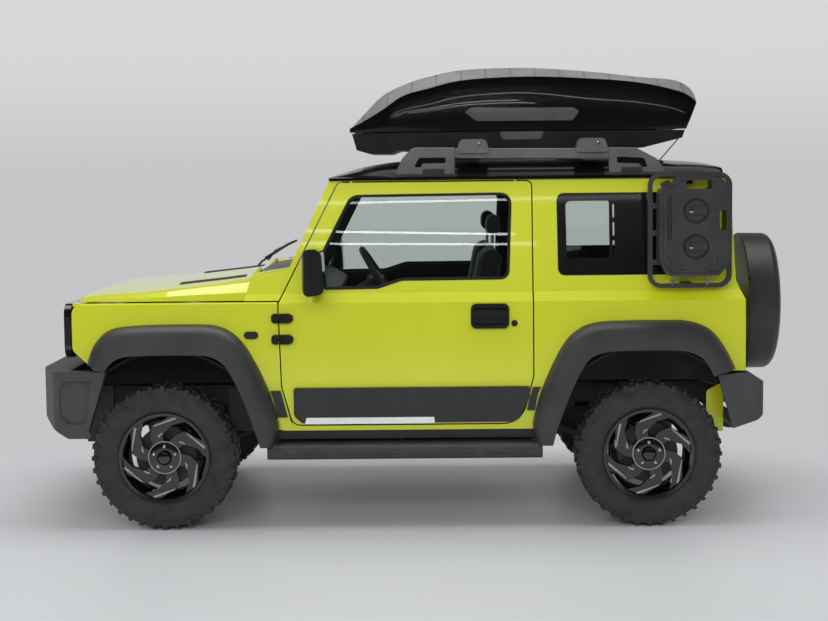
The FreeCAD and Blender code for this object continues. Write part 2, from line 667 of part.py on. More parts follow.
def door_trim():
    """Lower cladding and the handle of the right door."""
    cladding = side_slab(
        ((fa(602), 653, 12), (fa(602), 520, 30), (fa(640), 486, 30), (ra(-605), 486, 60),
         (ra(-548), 600, 20), (ra(-548), 653, 12)), *SIDE_REACH)
    cladding = cladding.common(side_band(fa(590), ra(-540), 480, 660, -16, -SEAT_GAP))
    plate = side_slab(
        ((ra(-820), 925, 25), (ra(-643), 925, 25), (ra(-643), 1040, 25), (ra(-820), 1040, 25)),
        DOOR_Y + SEAT_GAP, DOOR_Y + 20)
    dish = side_slab(
        ((ra(-808), 940, 18), (ra(-655), 940, 18), (ra(-655), 1026, 18), (ra(-808), 1026, 18)),
        DOOR_Y + 5, DOOR_Y + 30)
    pull = side_slab(
        ((ra(-812), 984, 8), (ra(-651), 984, 8), (ra(-651), 1012, 8), (ra(-812), 1012, 8)),
        DOOR_Y + 12, DOOR_Y + 24)
    handle = joined([plate.cut(dish), pull])
    return Part.makeCompound([cladding, handle] + door_hinges(True))


def door_mirror():
    """Mirror housing, deepest at its outer end, on a short arm at the foot of the window."""
    side = ((fa(664), 1088, 30), (fa(657), 1302, 40), (fa(752), 1312, 40), (fa(764), 1104, 30))
    plan = (
        (fa(764), DOOR_Y + 26, 20), (fa(700), DOOR_Y + 26, 30), (fa(657), DOOR_Y + 90, 40),
        (fa(662), MIRROR_Y - 30, 40),
        (fa(700), MIRROR_Y, 30), (fa(764), MIRROR_Y, 12),
    )
    head = side_slab(side, DOOR_Y, MIRROR_Y + 10).common(plan_slab(plan, 1000, 1400))
    glass_bed = side_slab(shifted(side, -14), DOOR_Y,
        MIRROR_Y).common(plan_slab(shifted(plan, -14), 1000, 1400))
    glass_bed = glass_bed.common(box(fa(735), fa(800), 0, MIRROR_Y, 1000, 1400)).translated(V(12, 0, 0))
    arm = side_slab(((fa(690), 1108, 10), (fa(690), 1150, 10), (fa(745), 1150, 10), (fa(745), 1108, 10)),
                    half_width(1108) + SEAT_GAP, DOOR_Y + 60)
    return joined([head.cut(glass_bed), arm])


def doors():
    shell = door_shell()
    glass = pane(DOOR_WINDOW, fa(700), ra(-600), 24)
    trim = door_trim()
    mirror = door_mirror()
    for name, shape in (("shell", shell), ("glass", glass), ("trim", trim), ("mirror", mirror)):
        export(f"door_right_{name}", shape)
        export(f"door_left_{name}", mirrored(shape))


# ---------------------------------------------------------------- front end
FRONT_ARCH = (
    (fa(-420), 380), (fa(-330), 640, 30), (fa(-235), 910, 90), (fa(300), 915, 150), (fa(470), 640, 120),
    (fa(500), 380),
)
GRILLE_X = fa(-472)
GRILLE_Y = DOOR_Y - 47.5
APRON_Y = 403.0                 # inner wall of the engine bay's sides


def front_wing():
    """Right wing: outer skin, shelf under the bonnet's edge, inner apron and arch liner."""
    outline = (
        (fa(-425), 1055, 50), (fa(-425), 838, 40), (fa(-330), 748), (fa(-100), 600), (fa(555), SILL_Z),
        (fa(589), SILL_Z), (fa(589), 477), (fa(543), 660), (fa(532), BELT_Z), (fa(532), 1055),
    )
    skin = side_band(fa(-440), fa(600), SILL_Z, 1055, 0,
        WING_THICKNESS).common(side_slab(outline, *SIDE_REACH))
    skin = skin.cut(side_slab(FRONT_ARCH, *SIDE_REACH))
    inner = DOOR_Y - WING_THICKNESS + 1
    shelf = box(fa(-425), fa(468), inner - 108, inner, 1041, 1055)
    apron = box(fa(-395), fa(468), APRON_Y, APRON_Y + PAN, 640, 1041)
    bridge = box(fa(-395), fa(468), APRON_Y, inner - 98, 1041, 1055)
    liner = arch_liner(X_FA, APRON_Y, inner, 40, 20)
    liner = liner.cut(box(fa(-600), fa(600), APRON_Y - 1, APRON_Y + PAN, 300, 640))
    return joined([skin, shelf, bridge, liner, apron])


BONNET_Y = SHOULDER_WIDTH / 2 + 2
# x, how far in from the widest line and how high: the foot, the crease and the shoulder, and the middle's height
BONNET = (
    (fa(-400), 60, 1061, 72, 1070, 148, 1083, 1088),
    (fa(-338), 6, 1061, 26, 1080, 143, 1110, 1122),
    (fa(-100), 0, 1061, 40, 1128, 143, 1148, 1158),
    (fa(430), 0, 1061, 53, 1160, 143, 1178, 1188),
)


def bonnet_section(x, foot_in, foot_z, crease_in, crease_z, shoulder_in, shoulder_z, top_z, wall):
    half = (
        (BONNET_Y - foot_in - wall, foot_z), (BONNET_Y - crease_in - wall, crease_z - wall),
        (BONNET_Y - shoulder_in - wall, shoulder_z - wall), (0, top_z - wall),
    )
    points = [V(x, y, z) for y, z in half] + [V(x, -y, z) for y, z in reversed(half[:-1])]
    return Part.makePolygon(points + points[:1])


BONNET_HINGE_X = fa(425)
BONNET_HINGE_Z = 1192.0
BONNET_HINGE_Y = 420.0


def bonnet_hinges(on_bonnet):
    """Hinge leaves that stand up behind the bonnet: its own, or the one on the scuttle."""
    x, z = BONNET_HINGE_X, BONNET_HINGE_Z
    leaves = []
    for side in (-1, 1):
        middle = side * BONNET_HINGE_Y
        if on_bonnet:
            outline = ((fa(382), 1164), (fa(382), 1178), (x, z + 6), (x, z - 6), (fa(404), 1171))
            spans = ((middle - 16, middle - 6), (middle + 6, middle + 16))
        else:
            outline = ((x - 5, 1172), (x - 5, z), (x + 5, z), (x + 5, 1174))
            spans = ((middle - 6 + PIN_GAP, middle + 6 - PIN_GAP),)
        for y0, y1 in spans:
            leaves.append(side_slab(outline, y0, y1).fuse(rod((x, y0, z), (x, y1, z), 6)))
    return leaves


def bonnet():
    outer = ruled_loft([bonnet_section(*row, 0) for row in BONNET])
    rows = [list(row) for row in BONNET]
    rows[0][0] += 30
    hollow = []
    for row in rows:
        row[2] -= 1
        if row[0] < fa(-350):
            row[4] += 26
            row[6] += 16
            row[7] += 16
        hollow.append(bonnet_section(*row, 26))
    inner = ruled_loft(hollow)
    tail = side_slab(((fa(370), 1050), (fa(408), 1200), (fa(500), 1200), (fa(500), 1050)), -800, 800)
    return joined([outer.cut(inner).cut(tail)] + bonnet_hinges(True))


SCREEN_BOW = 38.0


def scuttle():
    """Black grille panel between bonnet and windscreen."""
    y = half_width(1200) - SIDE_WALL - SEAT_GAP
    outline = ((fa(416), 1160), (fa(588), 1190), (fa(588), 1204), (fa(416), 1178))
    panel = side_slab(outline, -y, y)
    wall = box(fa(470), fa(482), -y + 20, y - 20, 1130 + SEAT_GAP, 1172)
    return joined([panel, wall] + bonnet_hinges(False))


def windscreen():
    """Laminated screen, bowed forward in the middle, between the front pillars."""
    levels = []
    # x beside the pillar, height
    for x, z in ((fa(592), 1206), (fa(780), GUTTER_Z - 7)):
        y = half_width(z) - SIDE_WALL - SEAT_GAP
        outer = Part.Arc(V(x, -y, z), V(x - SCREEN_BOW, 0, z), V(x, y, z)).toShape()
        inner = Part.Arc(V(x + GLASS, y, z), V(x + GLASS - SCREEN_BOW, 0, z), V(x + GLASS, -y, z)).toShape()
        ends = [Part.makeLine(V(x, side * y, z), V(x + GLASS, side * y, z)) for side in (1, -1)]
        levels.append(Part.Wire([outer, ends[0], inner, ends[1]]))
    return ruled_loft(levels)


def fixed_glass():
    quarter = pane(QUARTER_WINDOW, ra(-430), ra(270), 6)
    return Part.makeCompound([windscreen(), both(quarter)])


def grille():
    plate = front_slab(
        ((-GRILLE_Y, 795, 60), (GRILLE_Y, 795, 60), (GRILLE_Y, 1050, 60), (-GRILLE_Y, 1050, 60)), GRILLE_X,
        fa(-440))
    slots = []
    for i in range(6):
        y = -300 + 120 * i
        slots.append(front_slab(((y - 38, 830, 20), (y + 38, 830, 20), (y + 38, 1010, 20),
            (y - 38, 1010, 20)),
                                GRILLE_X - 1, fa(-452)))
    for side in (-1, 1):
        slots.append(rod((GRILLE_X - 1, side * 500, 925), (fa(-400), side * 500, 925), 92))
        slots.append(rod((GRILLE_X - 1, side * 634, 925), (fa(-400), side * 634, 925), 30))
    reach = DOOR_Y - WING_THICKNESS - 110
    top = box(fa(-445), fa(-397), -reach, reach, 1034, 1048)
    return plate.fuse(top).cut(Part.makeCompound(slots))


def headlamps():
    body = rod((fa(-466), 500, 925), (fa(-400), 500, 925), 92 - SEAT_GAP)
    return both(body)


def signal_lamps():
    front = rod((fa(-468), 634, 925), (fa(-420), 634, 925), 30 - SEAT_GAP)
    repeater = side_slab(
        ((fa(376), 885, 17), (fa(442), 885, 17), (fa(442), 920, 17), (fa(376), 920, 17)),
        DOOR_Y + SEAT_GAP, DOOR_Y + 10)
    rear = rear_bumper_form(0).common(lens_block(SEAT_GAP)).cut(rear_bumper_form(8 - SEAT_GAP))
    return Part.makeCompound([both(front), both(repeater), both(rear)])


BUMPER_TOP = 741.0
BUMPER_LOW = 432.0


def steer_envelope():
    """Ball that the steered front wheel stays in, with room to spare."""
    reach = WHEEL_Y + TYRE_WIDTH / 2 - KINGPIN_Y
    radius = math.hypot(TYRE_DIAMETER / 2, reach) + 9
    return Part.makeSphere(radius, V(X_FA, KINGPIN_Y, HUB_Z))


def front_bumper():
    """Faceted bar that wraps round to the arches, with a pocket in each end and an open underside."""
    # x, how far in from the widest line, corner radius: the right half seen from above
    front = ((fa(-240), 0), (fa(-500), 0, 70), (fa(-578), 160, 90), (fa(-625), 370, 120), (X_FRONT, 560))
    inside = ((fa(-240), 60), (fa(-430), 60), (fa(-480), 75, 50), (fa(-560), 250, 60), (fa(-605), 500))
    side = (
        (fa(-262), BUMPER_TOP), (fa(-585), BUMPER_TOP + 7), (fa(-640), 715), (X_FRONT, 650), (X_FRONT, 580),
        (fa(-545), 494), (fa(-440), BUMPER_LOW), (fa(-330), BUMPER_LOW), (fa(-346), 470),
    )
    pocket = (
        (fa(-330), 700, 10), (fa(-455), 700, 20), (fa(-480), 660, 20),
        (fa(-480), 540, 20), (fa(-440), 500, 20), (fa(-360), 500, 20),
    )
    splash = (
        (fa(-470), 730), (fa(-470), 600), (fa(-435), 445), (fa(-305), 445), (fa(-305), 630),
        (fa(-400), 630), (fa(-440), 730),
    )

    def across(rows):
        right = [(row[0], BUMPER_Y - row[1], *row[2:]) for row in rows]
        return right + [(row[0], row[1] - BUMPER_Y, *row[2:]) for row in reversed(rows)]

    block = plan_slab(across(front), BUMPER_LOW, BUMPER_TOP + 7).common(side_slab(side, -900, 900))
    block = block.cut(plan_slab(across(inside), BUMPER_LOW - 10, BUMPER_TOP - 22))
    block = block.cut(box(fa(-435), fa(-200), 60 - BUMPER_Y, BUMPER_Y - 60, BUMPER_LOW - 10, BUMPER_TOP + 10))
    block = block.cut(both(side_slab(pocket, BUMPER_Y - 14, BUMPER_Y + 50)))
    plates = both(side_slab(splash, RAIL_Y1 + 6, RAIL_Y1 + 14)).Solids
    stay = box(fa(-612), fa(-560) - SEAT_GAP, RAIL_Y0 + 5, RAIL_Y1 - 5, 556, 592)
    return joined([joined([block] + plates).cut(both(steer_envelope()))] + both(stay).Solids)


def rear_bumper_form(inset):
    """Rear bumper's outer form, or with an inset the room inside it."""
    half = BUMPER_Y - 10 - inset
    side = (
        (ra(318), 702), (ra(449), 712, 20), (ra(594), 632, 30), (ra(594), 565, 40), (ra(500), 492, 20),
        (ra(388), 454),
    )
    plan = (
        (ra(250), -half), (ra(525) - inset, -half, 40), (ra(594) - inset, -half + 330, 80),
        (ra(594) - inset, half - 330, 80), (ra(525) - inset, half, 40), (ra(250), half),
    )
    return side_slab(shifted(side, -inset), -half, half).common(plan_slab(plan, 400, 760))


TAIL_LENS = ((ra(520), 560, 575), (ra(600), 690, 620))      # opposite corners of the lens's recess


def lens_block(gap):
    """Block that a rear lens fills: the recess, or with a gap the lens itself."""
    (x0, y0, z0), (x1, y1, z1) = TAIL_LENS
    return box(x0 + gap, x1, y0 + gap, y1 - gap, z0 + gap, z1 - gap)


def rear_bumper():
    reach = BUMPER_Y - 35
    throat = box(ra(250), ra(430), -reach, reach, 478,
        760).fuse(box(ra(430), ra(455), -reach, reach, 640, 760))
    room = rear_bumper_form(24).fuse(throat)
    dip = box(ra(300), ra(600), -430, 430, 640, 720).fuse(box(ra(300), ra(530), -430, 430, 440, 500))
    recess = lens_block(0).cut(rear_bumper_form(8))
    stay = box(ra(400) + SEAT_GAP, ra(572), RAIL_Y0 + 5, RAIL_Y1 - 5, 556, 592)
    shell = rear_bumper_form(0).cut(room).cut(dip).cut(both(recess))
    return joined([shell] + both(stay).Solids)


# ---------------------------------------------------------------- cladding
# x, z, radius: outer and inner edges of the front and rear flares
FRONT_FLARE = (
    (fa(-262), 742), (fa(-353), 785), (fa(-256), 949, 90), (fa(330), 954, 160), (fa(500), 610, 120),
    (fa(531), 461), (fa(512), 385), (fa(450), 385),
)
FRONT_FLARE_INNER = (
    (fa(-300), 300), (fa(-300), 700), (fa(-225), 813, 70), (fa(268), 818, 110), (fa(375), 600, 150),
    (fa(450), 385),
    (fa(430), 300),
)
REAR_FLARE = (
    (ra(-446), 385), (ra(-520), 385), (ra(-534), 461), (ra(-505), 620, 120), (ra(-340), 955, 170),
    (ra(285), 957, 110),
    (ra(403), 734), (ra(293), 712),
)
REAR_FLARE_INNER = (
    (ra(-430), 300), (ra(-446), 373), (ra(-370), 610, 150), (ra(-265), 822, 110), (ra(240), 822, 80),
    (ra(293), 700),
    (ra(330), 300),
)


def flare(outer, inner):
    """Right-hand arch flare: rises from the body to a narrower rolled edge."""
    def edge(inset, y):
        return rounded_wire(shifted(outer, -inset), lambda u, v: V(u, y, v))

    foot_y = DOOR_Y + SEAT_GAP
    body = ruled_loft([edge(0, foot_y), edge(38, FLARE_Y)])
    hollow = ruled_loft([edge(28, foot_y), edge(50, FLARE_Y - 14)])
    opening = side_slab(inner, DOOR_Y - 50, FLARE_Y + 50)
    return body.cut(opening).cut(hollow)


def arch_flares():
    return Part.makeCompound([both(flare(FRONT_FLARE, FRONT_FLARE_INNER)),
        both(flare(REAR_FLARE, REAR_FLARE_INNER))])


def lower_cladding():
    """Short pads before and behind the doors, and the strip below each sill."""
    outlines = (
        ((fa(494), 640), (fa(541), 640), (fa(572), 515), (fa(524), 515), (fa(510), 590)),
        ((ra(-534), 648), (ra(-497), 648), (ra(-511), 618), (ra(-525), 540), (ra(-561), 540)),
    )
    skin = side_band(fa(485), ra(-480), 480, 650, -14, -SEAT_GAP)
    pads = [both(side_slab(outline, *SIDE_REACH).common(skin)) for outline in outlines]
    sill = box(fa(495), ra(-500), DOOR_Y - 97, DOOR_Y - 37, 407, SILL_Z - SEAT_GAP)
    hinges = [both(hinge) for hinge in door_hinges(False)]
    return Part.makeCompound(pads + hinges + [both(sill)])


def side_steps():
    y = DOOR_Y + 32
    bar = rod((fa(480), y, 358), (ra(-493), y, 358), 36)
    arms = [rod((x, RAIL_Y1 - 20, 456), (x, y, 354), 18) for x in (fa(620), fa(1100), fa(1580))]
    plate = box(fa(520), ra(-535), DOOR_Y - 140, y, 380, 392)
    step = joined([bar, plate] + arms)
    return both(step.cut(box(fa(400), ra(-400), 300, RAIL_Y1 + SEAT_GAP, 300, 600)))


# ---------------------------------------------------------------- roof
# y, z of the roof's right half, from the gutter's lip to the middle
ROOF_SECTION = (
    (GUTTER_Y + 17, GUTTER_Z), (GUTTER_Y + 17, GUTTER_Z + 16), (GUTTER_Y - 12, GUTTER_Z + 20),
    (GUTTER_Y - 50, GUTTER_Z + 56), (350, ROOF_Z - 7), (0, ROOF_Z),
)


def roof():
    """Black roof panel with its gutter and a lip over the tailgate."""
    section = list(ROOF_SECTION) + [(-y, z) for y, z in reversed(ROOF_SECTION[:-1])]
    outer = front_slab(section, fa(700), ra(440))
    side = (
        (fa(738), GUTTER_Z), (fa(740), GUTTER_Z + 12), (fa(812), GUTTER_Z + 27), (fa(900), GUTTER_Z + 56),
        (fa(1104), ROOF_Z + 1), (ra(-191), ROOF_Z - 3), (ra(395), ROOF_Z - 23), (ra(425), ROOF_Z - 43),
        (ra(419), GUTTER_Z + 24), (ra(392), GUTTER_Z),
    )
    plan = (
        (fa(776), -700), (fa(752), -400, 500), (fa(742), 0, 800), (fa(752), 400, 500), (fa(776), 700),
        (ra(385), 700), (ra(412), 400, 500), (ra(426), 0, 800), (ra(412), -400, 500), (ra(385), -700),
    )
    reach = GUTTER_Y - 55
    inner = front_slab(
        ((-reach, GUTTER_Z - 1), (reach, GUTTER_Z - 1), (reach - 30, GUTTER_Z + 28), (320, ROOF_Z - 35),
        (0, ROOF_Z - 30),
         (-320, ROOF_Z - 35), (30 - reach, GUTTER_Z + 28)), fa(920), ra(330))
    return outer.common(side_slab(side, -700, 700)).common(plan_slab(plan, GUTTER_Z - 5,
        ROOF_Z + 5)).cut(inner)


RAIL_Y = GUTTER_Y - 36
RAIL_HALF = 17.0
ROOF_RAIL = (
    (fa(1085), ROOF_Z - 35), (fa(1112), ROOF_Z + 15, 40), (fa(1165), ROOF_Z + 70, 60),
    (ra(-40), ROOF_Z + 57, 60),
    (ra(55), ROOF_Z + 5, 40), (ra(95), ROOF_Z - 40), (ra(95), GUTTER_Z - 12), (fa(1085), GUTTER_Z - 12),
)


def roof_rails():
    """Right and left rails: a flat bar on two feet that lie on the roof's shoulder."""
    gap = ((fa(1363), GUTTER_Z), (fa(1363), ROOF_Z + 24, 10), (ra(-168), ROOF_Z + 14, 10),
        (ra(-168), GUTTER_Z))
    bar = side_slab(ROOF_RAIL, RAIL_Y - RAIL_HALF, RAIL_Y + RAIL_HALF)
    bar = bar.cut(side_slab(gap, RAIL_Y - 30, RAIL_Y + 30))
    skin = [(y, z + SEAT_GAP) for y, z in ROOF_SECTION]
    under = front_slab([(0, GUTTER_Z - 50)] + skin[::-1] + [(skin[0][0], GUTTER_Z - 50)], fa(1000), ra(200))
    return both(bar.cut(under))


BAR_TOP = ROOF_Z + 61
BAR_DEPTH = 26.0
BOX_FLOOR = BAR_TOP + SEAT_GAP
BOX_SEAM = BAR_TOP + 87


def cross_bars():
    """Two bars between the rails, each with a clamp that closes over the rail."""
    bars = []
    for x in (fa(1448), ra(-248)):
        reach = RAIL_Y - RAIL_HALF - 8
        beam = box(x - 36, x + 36, -reach, reach, BAR_TOP - BAR_DEPTH, BAR_TOP)
        for side in (-1, 1):
            y0, y1 = sorted((side * (RAIL_Y - 52), side * (RAIL_Y + 34)))
            outline = ((x - 78, BAR_TOP - 21, 12), (x - 60, BAR_TOP + 44, 24),
                       (x + 60, BAR_TOP + 44, 24), (x + 78, BAR_TOP - 21, 12))
            clamp = side_slab(outline, y0, y1)
            beam = beam.fuse(clamp)
        bars.append(beam.removeSplitter())
    rail = side_slab(shifted(ROOF_RAIL, SEAT_GAP), RAIL_Y - RAIL_HALF - SEAT_GAP,
        RAIL_Y + RAIL_HALF + SEAT_GAP)
    return Part.makeCompound(bars).cut(both(rail))


# x, half width at the seam, shoulder's half width, top's half width; heights over the seam of shoulder and top
BOX_LID = (
    (fa(862), 280, 276, 230, 29, 45),
    (fa(1019), 400, 394, 320, 96, 187),
    (fa(1240), 428, 420, 330, 197, 276),
    (fa(1418), 432, 424, 335, 242, 309),
    (fa(1715), 434, 426, 335, 257, 322),
    (ra(-234), 434, 424, 335, 247, 306),
    (ra(0), 430, 420, 330, 219, 281),
    (ra(180), 422, 412, 320, 169, 259),
    (ra(285), 410, 400, 300, 107, 197),
)
BOX_WALL = 7.0
# x, y, corner radius of the box seen from above
BOX_PLAN = (
    (fa(858), -280, 80), (fa(1019), -401, 200), (fa(1300), -432, 400), (ra(265), -434, 110),
    (ra(285), -150, 400),
    (ra(285), 150, 400), (ra(265), 434, 110), (fa(1300), 432, 400), (fa(1019), 401, 200), (fa(858), 280, 80),
)
# x, height over the seam: the raked tail above the seam
BOX_TAIL = ((ra(220), -10), (ra(224), 0), (ra(283), 140), (ra(400), 140), (ra(400), -10))


def lid_section(x, seam_y, shoulder_y, top_y, shoulder_z, top_z, wall):
    half = (
        (seam_y - wall, BOX_SEAM - (1 if wall else 0)), (shoulder_y - wall, BOX_SEAM + shoulder_z - wall / 2),
        (top_y - wall, BOX_SEAM + top_z - wall),
    )
    points = [V(x, y, z) for y, z in half] + [V(x, -y, z) for y, z in reversed(half)]
    return Part.makePolygon(points + points[:1])


BOX_HINGE_Y = 442.0
BOX_HINGE_Z = BOX_SEAM - 2.5


def box_hinges(on_lid):
    """Three small hinges along the box's right edge: the lid's leaves or the base's."""
    leaves = []
    for x in (fa(1400), fa(1760), ra(-130)):
        if on_lid:
            spans = ((x - 22, x - 8), (x + 8, x + 22))
            z0, z1 = BOX_SEAM + 1, BOX_SEAM + 12
        else:
            spans = ((x - 8 + PIN_GAP, x + 8 - PIN_GAP),)
            z0, z1 = BOX_SEAM - 18, BOX_SEAM - 5
        for x0, x1 in spans:
            arm = box(x0, x1, BOX_HINGE_Y - 18, BOX_HINGE_Y, z0, z1)
            barrel = rod((x0, BOX_HINGE_Y, BOX_HINGE_Z), (x1, BOX_HINGE_Y, BOX_HINGE_Z), 5)
            leaves.append(arm.fuse(barrel))
    return leaves


def roof_box_lid():
    outer = ruled_loft([lid_section(*row, 0) for row in BOX_LID])
    outer = outer.common(plan_slab(BOX_PLAN, BOX_SEAM, BOX_SEAM + 400))
    rows = [list(row) for row in BOX_LID]
    rows[-1][0] -= 12
    inner = ruled_loft([lid_section(*row, BOX_WALL) for row in rows[1:]])
    inner = inner.common(plan_slab(shifted(BOX_PLAN, -BOX_WALL), BOX_SEAM - 5, BOX_SEAM + 400))
    tail = side_slab([(x, BOX_SEAM + z) for x, z in BOX_TAIL], -600, 600)
    inner_tail = tail.translated(V(-12, 0, 0))
    return joined([outer.cut(tail).cut(inner.cut(inner_tail))] + box_hinges(True))


def roof_box_base():
    """Tray of the roof box, with a stepped floor that is deepest in front of the bars."""
    rim_z = BOX_SEAM - 5
    side = (
        (fa(1100), BOX_FLOOR), (fa(1060), BAR_TOP - 16), (fa(955), BAR_TOP - 16), (fa(892), BAR_TOP + 2),
        (fa(868), rim_z),
        (ra(218), rim_z), (ra(203), BAR_TOP + 45), (ra(20), BOX_FLOOR),
    )
    inside = (
        (fa(1110), BOX_FLOOR + 8), (fa(1060), BAR_TOP - 6), (fa(965), BAR_TOP - 6),
        (fa(908), BAR_TOP + 12), (fa(888), rim_z + 60),
        (ra(204), rim_z + 60), (ra(190), BAR_TOP + 56), (ra(16), BOX_FLOOR + 8),
    )
    tray = side_slab(side, -500, 500).common(plan_slab(BOX_PLAN, BAR_TOP - 60, rim_z))
    room = side_slab(inside, -417, 417).common(plan_slab(shifted(BOX_PLAN, -12), BAR_TOP - 60, rim_z + 60))
    return joined([tray.cut(room)] + box_hinges(False))


# ---------------------------------------------------------------- jerry can
CARRIER_Y = DOOR_Y + 34.5       # outer face of the carrier
CAN_Y0 = CARRIER_Y + SEAT_GAP
CAN_Y1 = CAN_Y0 + 120


def can_carrier():
    """Loop of flat tube with slats behind the can, standing off the body on two feet."""
    y0, y1 = -CARRIER_Y, 28 - CARRIER_Y
    loop = side_slab(
        ((ra(-4), 1106, 62), (ra(-4), 1637, 62), (ra(380), 1637, 62), (ra(380), 1106, 62)), y0, y1)
    hole = side_slab(
        ((ra(16), 1126, 42), (ra(16), 1617, 42), (ra(360), 1617, 42), (ra(360), 1126, 42)), y0 - 10, y1 + 10)
    slats = [box(ra(4), ra(372), y0 + 2, y1 - 2, z, z + 24) for z in (1213, 1348, 1472)]
    feet = [box(ra(150), ra(200), y0 + 2, y1 - 2, 1584, 1625)]
    for z in (1108, 1584):
        feet.append(box(ra(150), ra(200), y0 + 12, -half_width(z) - SEAT_GAP, z, z + 24))
    return joined([loop.cut(hole)] + slats + feet)


def jerry_can():
    """Flat moulded can: two bosses with lock bars, two hand holes, corner ribs and an angled cap."""
    outline = (
        (ra(33), 1236, 20), (ra(33), 1557, 20), (ra(106), 1596), (ra(117), 1616, 10), (ra(305), 1616, 30),
        (ra(357), 1564, 20), (ra(357), 1229, 20), (ra(298), 1170, 20), (ra(78), 1170, 20),
    )
    face = -CAN_Y1
    body = side_slab(outline, face, -CAN_Y0)
    raised = side_slab(shifted(outline, -16), face - 8, -CAN_Y0)
    holes = [
        side_slab(((ra(148), 1561, 12), (ra(267), 1561, 12), (ra(267), 1600, 12), (ra(148), 1600, 12)),
        face - 20, 0),
        side_slab(((ra(301), 1375, 9), (ra(332), 1375, 9), (ra(332), 1465, 9), (ra(301), 1465, 9)),
        face - 20, 0),
        side_slab(((ra(65), 1332), (ra(84), 1332), (ra(84), 1530), (ra(65), 1530)), face - 20, face + 6),
    ]
    extras = []
    for z in (1463, 1301):
        dish = rod((ra(194), face - 20, z), (ra(194), face + 8, z), 58)
        knob = rod((ra(194), face - 6, z), (ra(194), face + 10, z), 46)
        grip = box(ra(146), ra(242), face - 14, face, z - 20, z + 20)
        holes.append(dish)
        extras += [knob, grip]
    # corner, from it the direction along the can: one rib round each lower corner
    for x, turn in ((ra(84), 1), (ra(306), -1)):
        x0, x1 = sorted((x, x + turn * 62))
        upright = sorted((x, x + turn * 14))
        extras.append(box(x0, x1, face - 14, face - 7, 1200, 1214))
        extras.append(box(*upright, face - 14, face - 7, 1200, 1262))
    middle = -(CAN_Y0 + CAN_Y1) / 2
    cap = rod((ra(78), middle, 1560), (ra(60), middle, 1594), 22)
    return joined([joined([body, raised]).cut(Part.makeCompound(holes))] + extras + [cap])


# ---------------------------------------------------------------- tailgate and spare
TAIL_Y = GUTTER_Y - 70
PANE_Y = TAIL_Y - 95
TAILGATE = ((-TAIL_Y, 740, 40), (TAIL_Y, 740, 40), (TAIL_Y, GUTTER_Z - 52, 60), (-TAIL_Y, GUTTER_Z - 52, 60))
TAIL_WINDOW = ((-PANE_Y, 1180, 50), (PANE_Y, 1180, 50), (PANE_Y, 1490, 50), (-PANE_Y, 1490, 50))
SPARE_Z = 984.0
SPARE_RADIUS = 343.0
SPARE_DEPTH = 178.0
SPARE_SEAT = 562.0              # where the spare bolts to its hub, from the rear axle
SPARE_HUB_RADIUS = 70.0
TAIL_THICKNESS = 60.0
TAIL_HINGE_X = ra(466)
TAIL_HINGE_Y = TAIL_Y + 25
TAIL_HINGE_Z = (840.0, 995.0)


def tail_slab(corners, distance):
    return front_slab(shifted(corners, distance), ra(200), ra(600))


def tail_hinges(side):
    """Leaves and barrels at the right edge: side -1 for the tailgate, 1 for the body."""
    barrels = []
    for z in TAIL_HINGE_Z:
        spans = ((z - 15 + PIN_GAP, z + 15 - PIN_GAP),) if side > 0 else ((z - 45, z - 15), (z + 15, z + 45))
        for z0, z1 in spans:
            root = TAIL_HINGE_Y + side * 60
            outline = ((TAIL_HINGE_X, root), (ra(448), root), (ra(448), TAIL_HINGE_Y + side * 30),
                       (ra(459), TAIL_HINGE_Y + side * 16), (ra(459), TAIL_HINGE_Y),
                       (TAIL_HINGE_X, TAIL_HINGE_Y))
            leaf = plan_slab(outline, z0, z1)
            barrel = rod((TAIL_HINGE_X, TAIL_HINGE_Y, z0), (TAIL_HINGE_X, TAIL_HINGE_Y, z1), 10)
            barrels.append(leaf.fuse(barrel))
    return barrels


def rear_frame():
    ring = rear_band(717, GUTTER_Z - SEAT_GAP, 0, TAIL_THICKNESS, -DOOR_Y, DOOR_Y)
    ring = ring.common(cab_space(ra(300), ra(500), 717, GUTTER_Z))
    return joined([ring.cut(tail_slab(TAILGATE, DOOR_GAP))] + tail_hinges(1))


def tailgate_shell():
    skin = rear_band(730, GUTTER_Z - 42, 0, 18, -DOOR_Y, DOOR_Y).common(tail_slab(TAILGATE, 0))
    frame = rear_band(730, GUTTER_Z - 42, 18, TAIL_THICKNESS, -DOOR_Y,
        DOOR_Y).common(tail_slab(TAILGATE, -14))
    hub = rod((ra(440), 0, SPARE_Z), (ra(SPARE_SEAT - SEAT_GAP), 0, SPARE_Z), SPARE_HUB_RADIUS)
    arm = box(ra(452), ra(470), -60, TAIL_Y - 15, SPARE_Z - 60, SPARE_Z + 60)
    return joined([joined([skin, frame]).cut(tail_slab(TAIL_WINDOW, 0)), hub, arm] + tail_hinges(-1))


def tailgate_glass():
    band = rear_band(1150, 1520, 6, 6 + GLASS, -600, 600)
    return band.common(tail_slab(TAIL_WINDOW, -SEAT_GAP))


def spare_wheel_cover():
    """Hard cover round the spare wheel: a drum with a rounded edge and a slightly domed face."""
    back = X_REAR - SPARE_DEPTH
    # x, radius from the tailgate's side to the middle of the face
    rings = (
        (back, SPARE_RADIUS - 6), (back + 6, SPARE_RADIUS), (X_REAR - 50, SPARE_RADIUS - 2),
        (X_REAR - 32, SPARE_RADIUS - 10),
        (X_REAR - 20, SPARE_RADIUS - 26), (X_REAR - 10, SPARE_RADIUS - 90), (X_REAR, 0),
    )
    wire = Part.makePolygon([V(x, 0, r) for x, r in ((back, 0),) + rings + ((back, 0),)])
    cover = Part.Face(wire).revolve(V(0, 0, 0), V(1, 0, 0), 360)
    cover.translate(V(0, 0, SPARE_Z))
    hole = rod((back - 1, 0, SPARE_Z), (ra(SPARE_SEAT), 0, SPARE_Z), SPARE_HUB_RADIUS + SEAT_GAP)
    return cover.cut(hole)


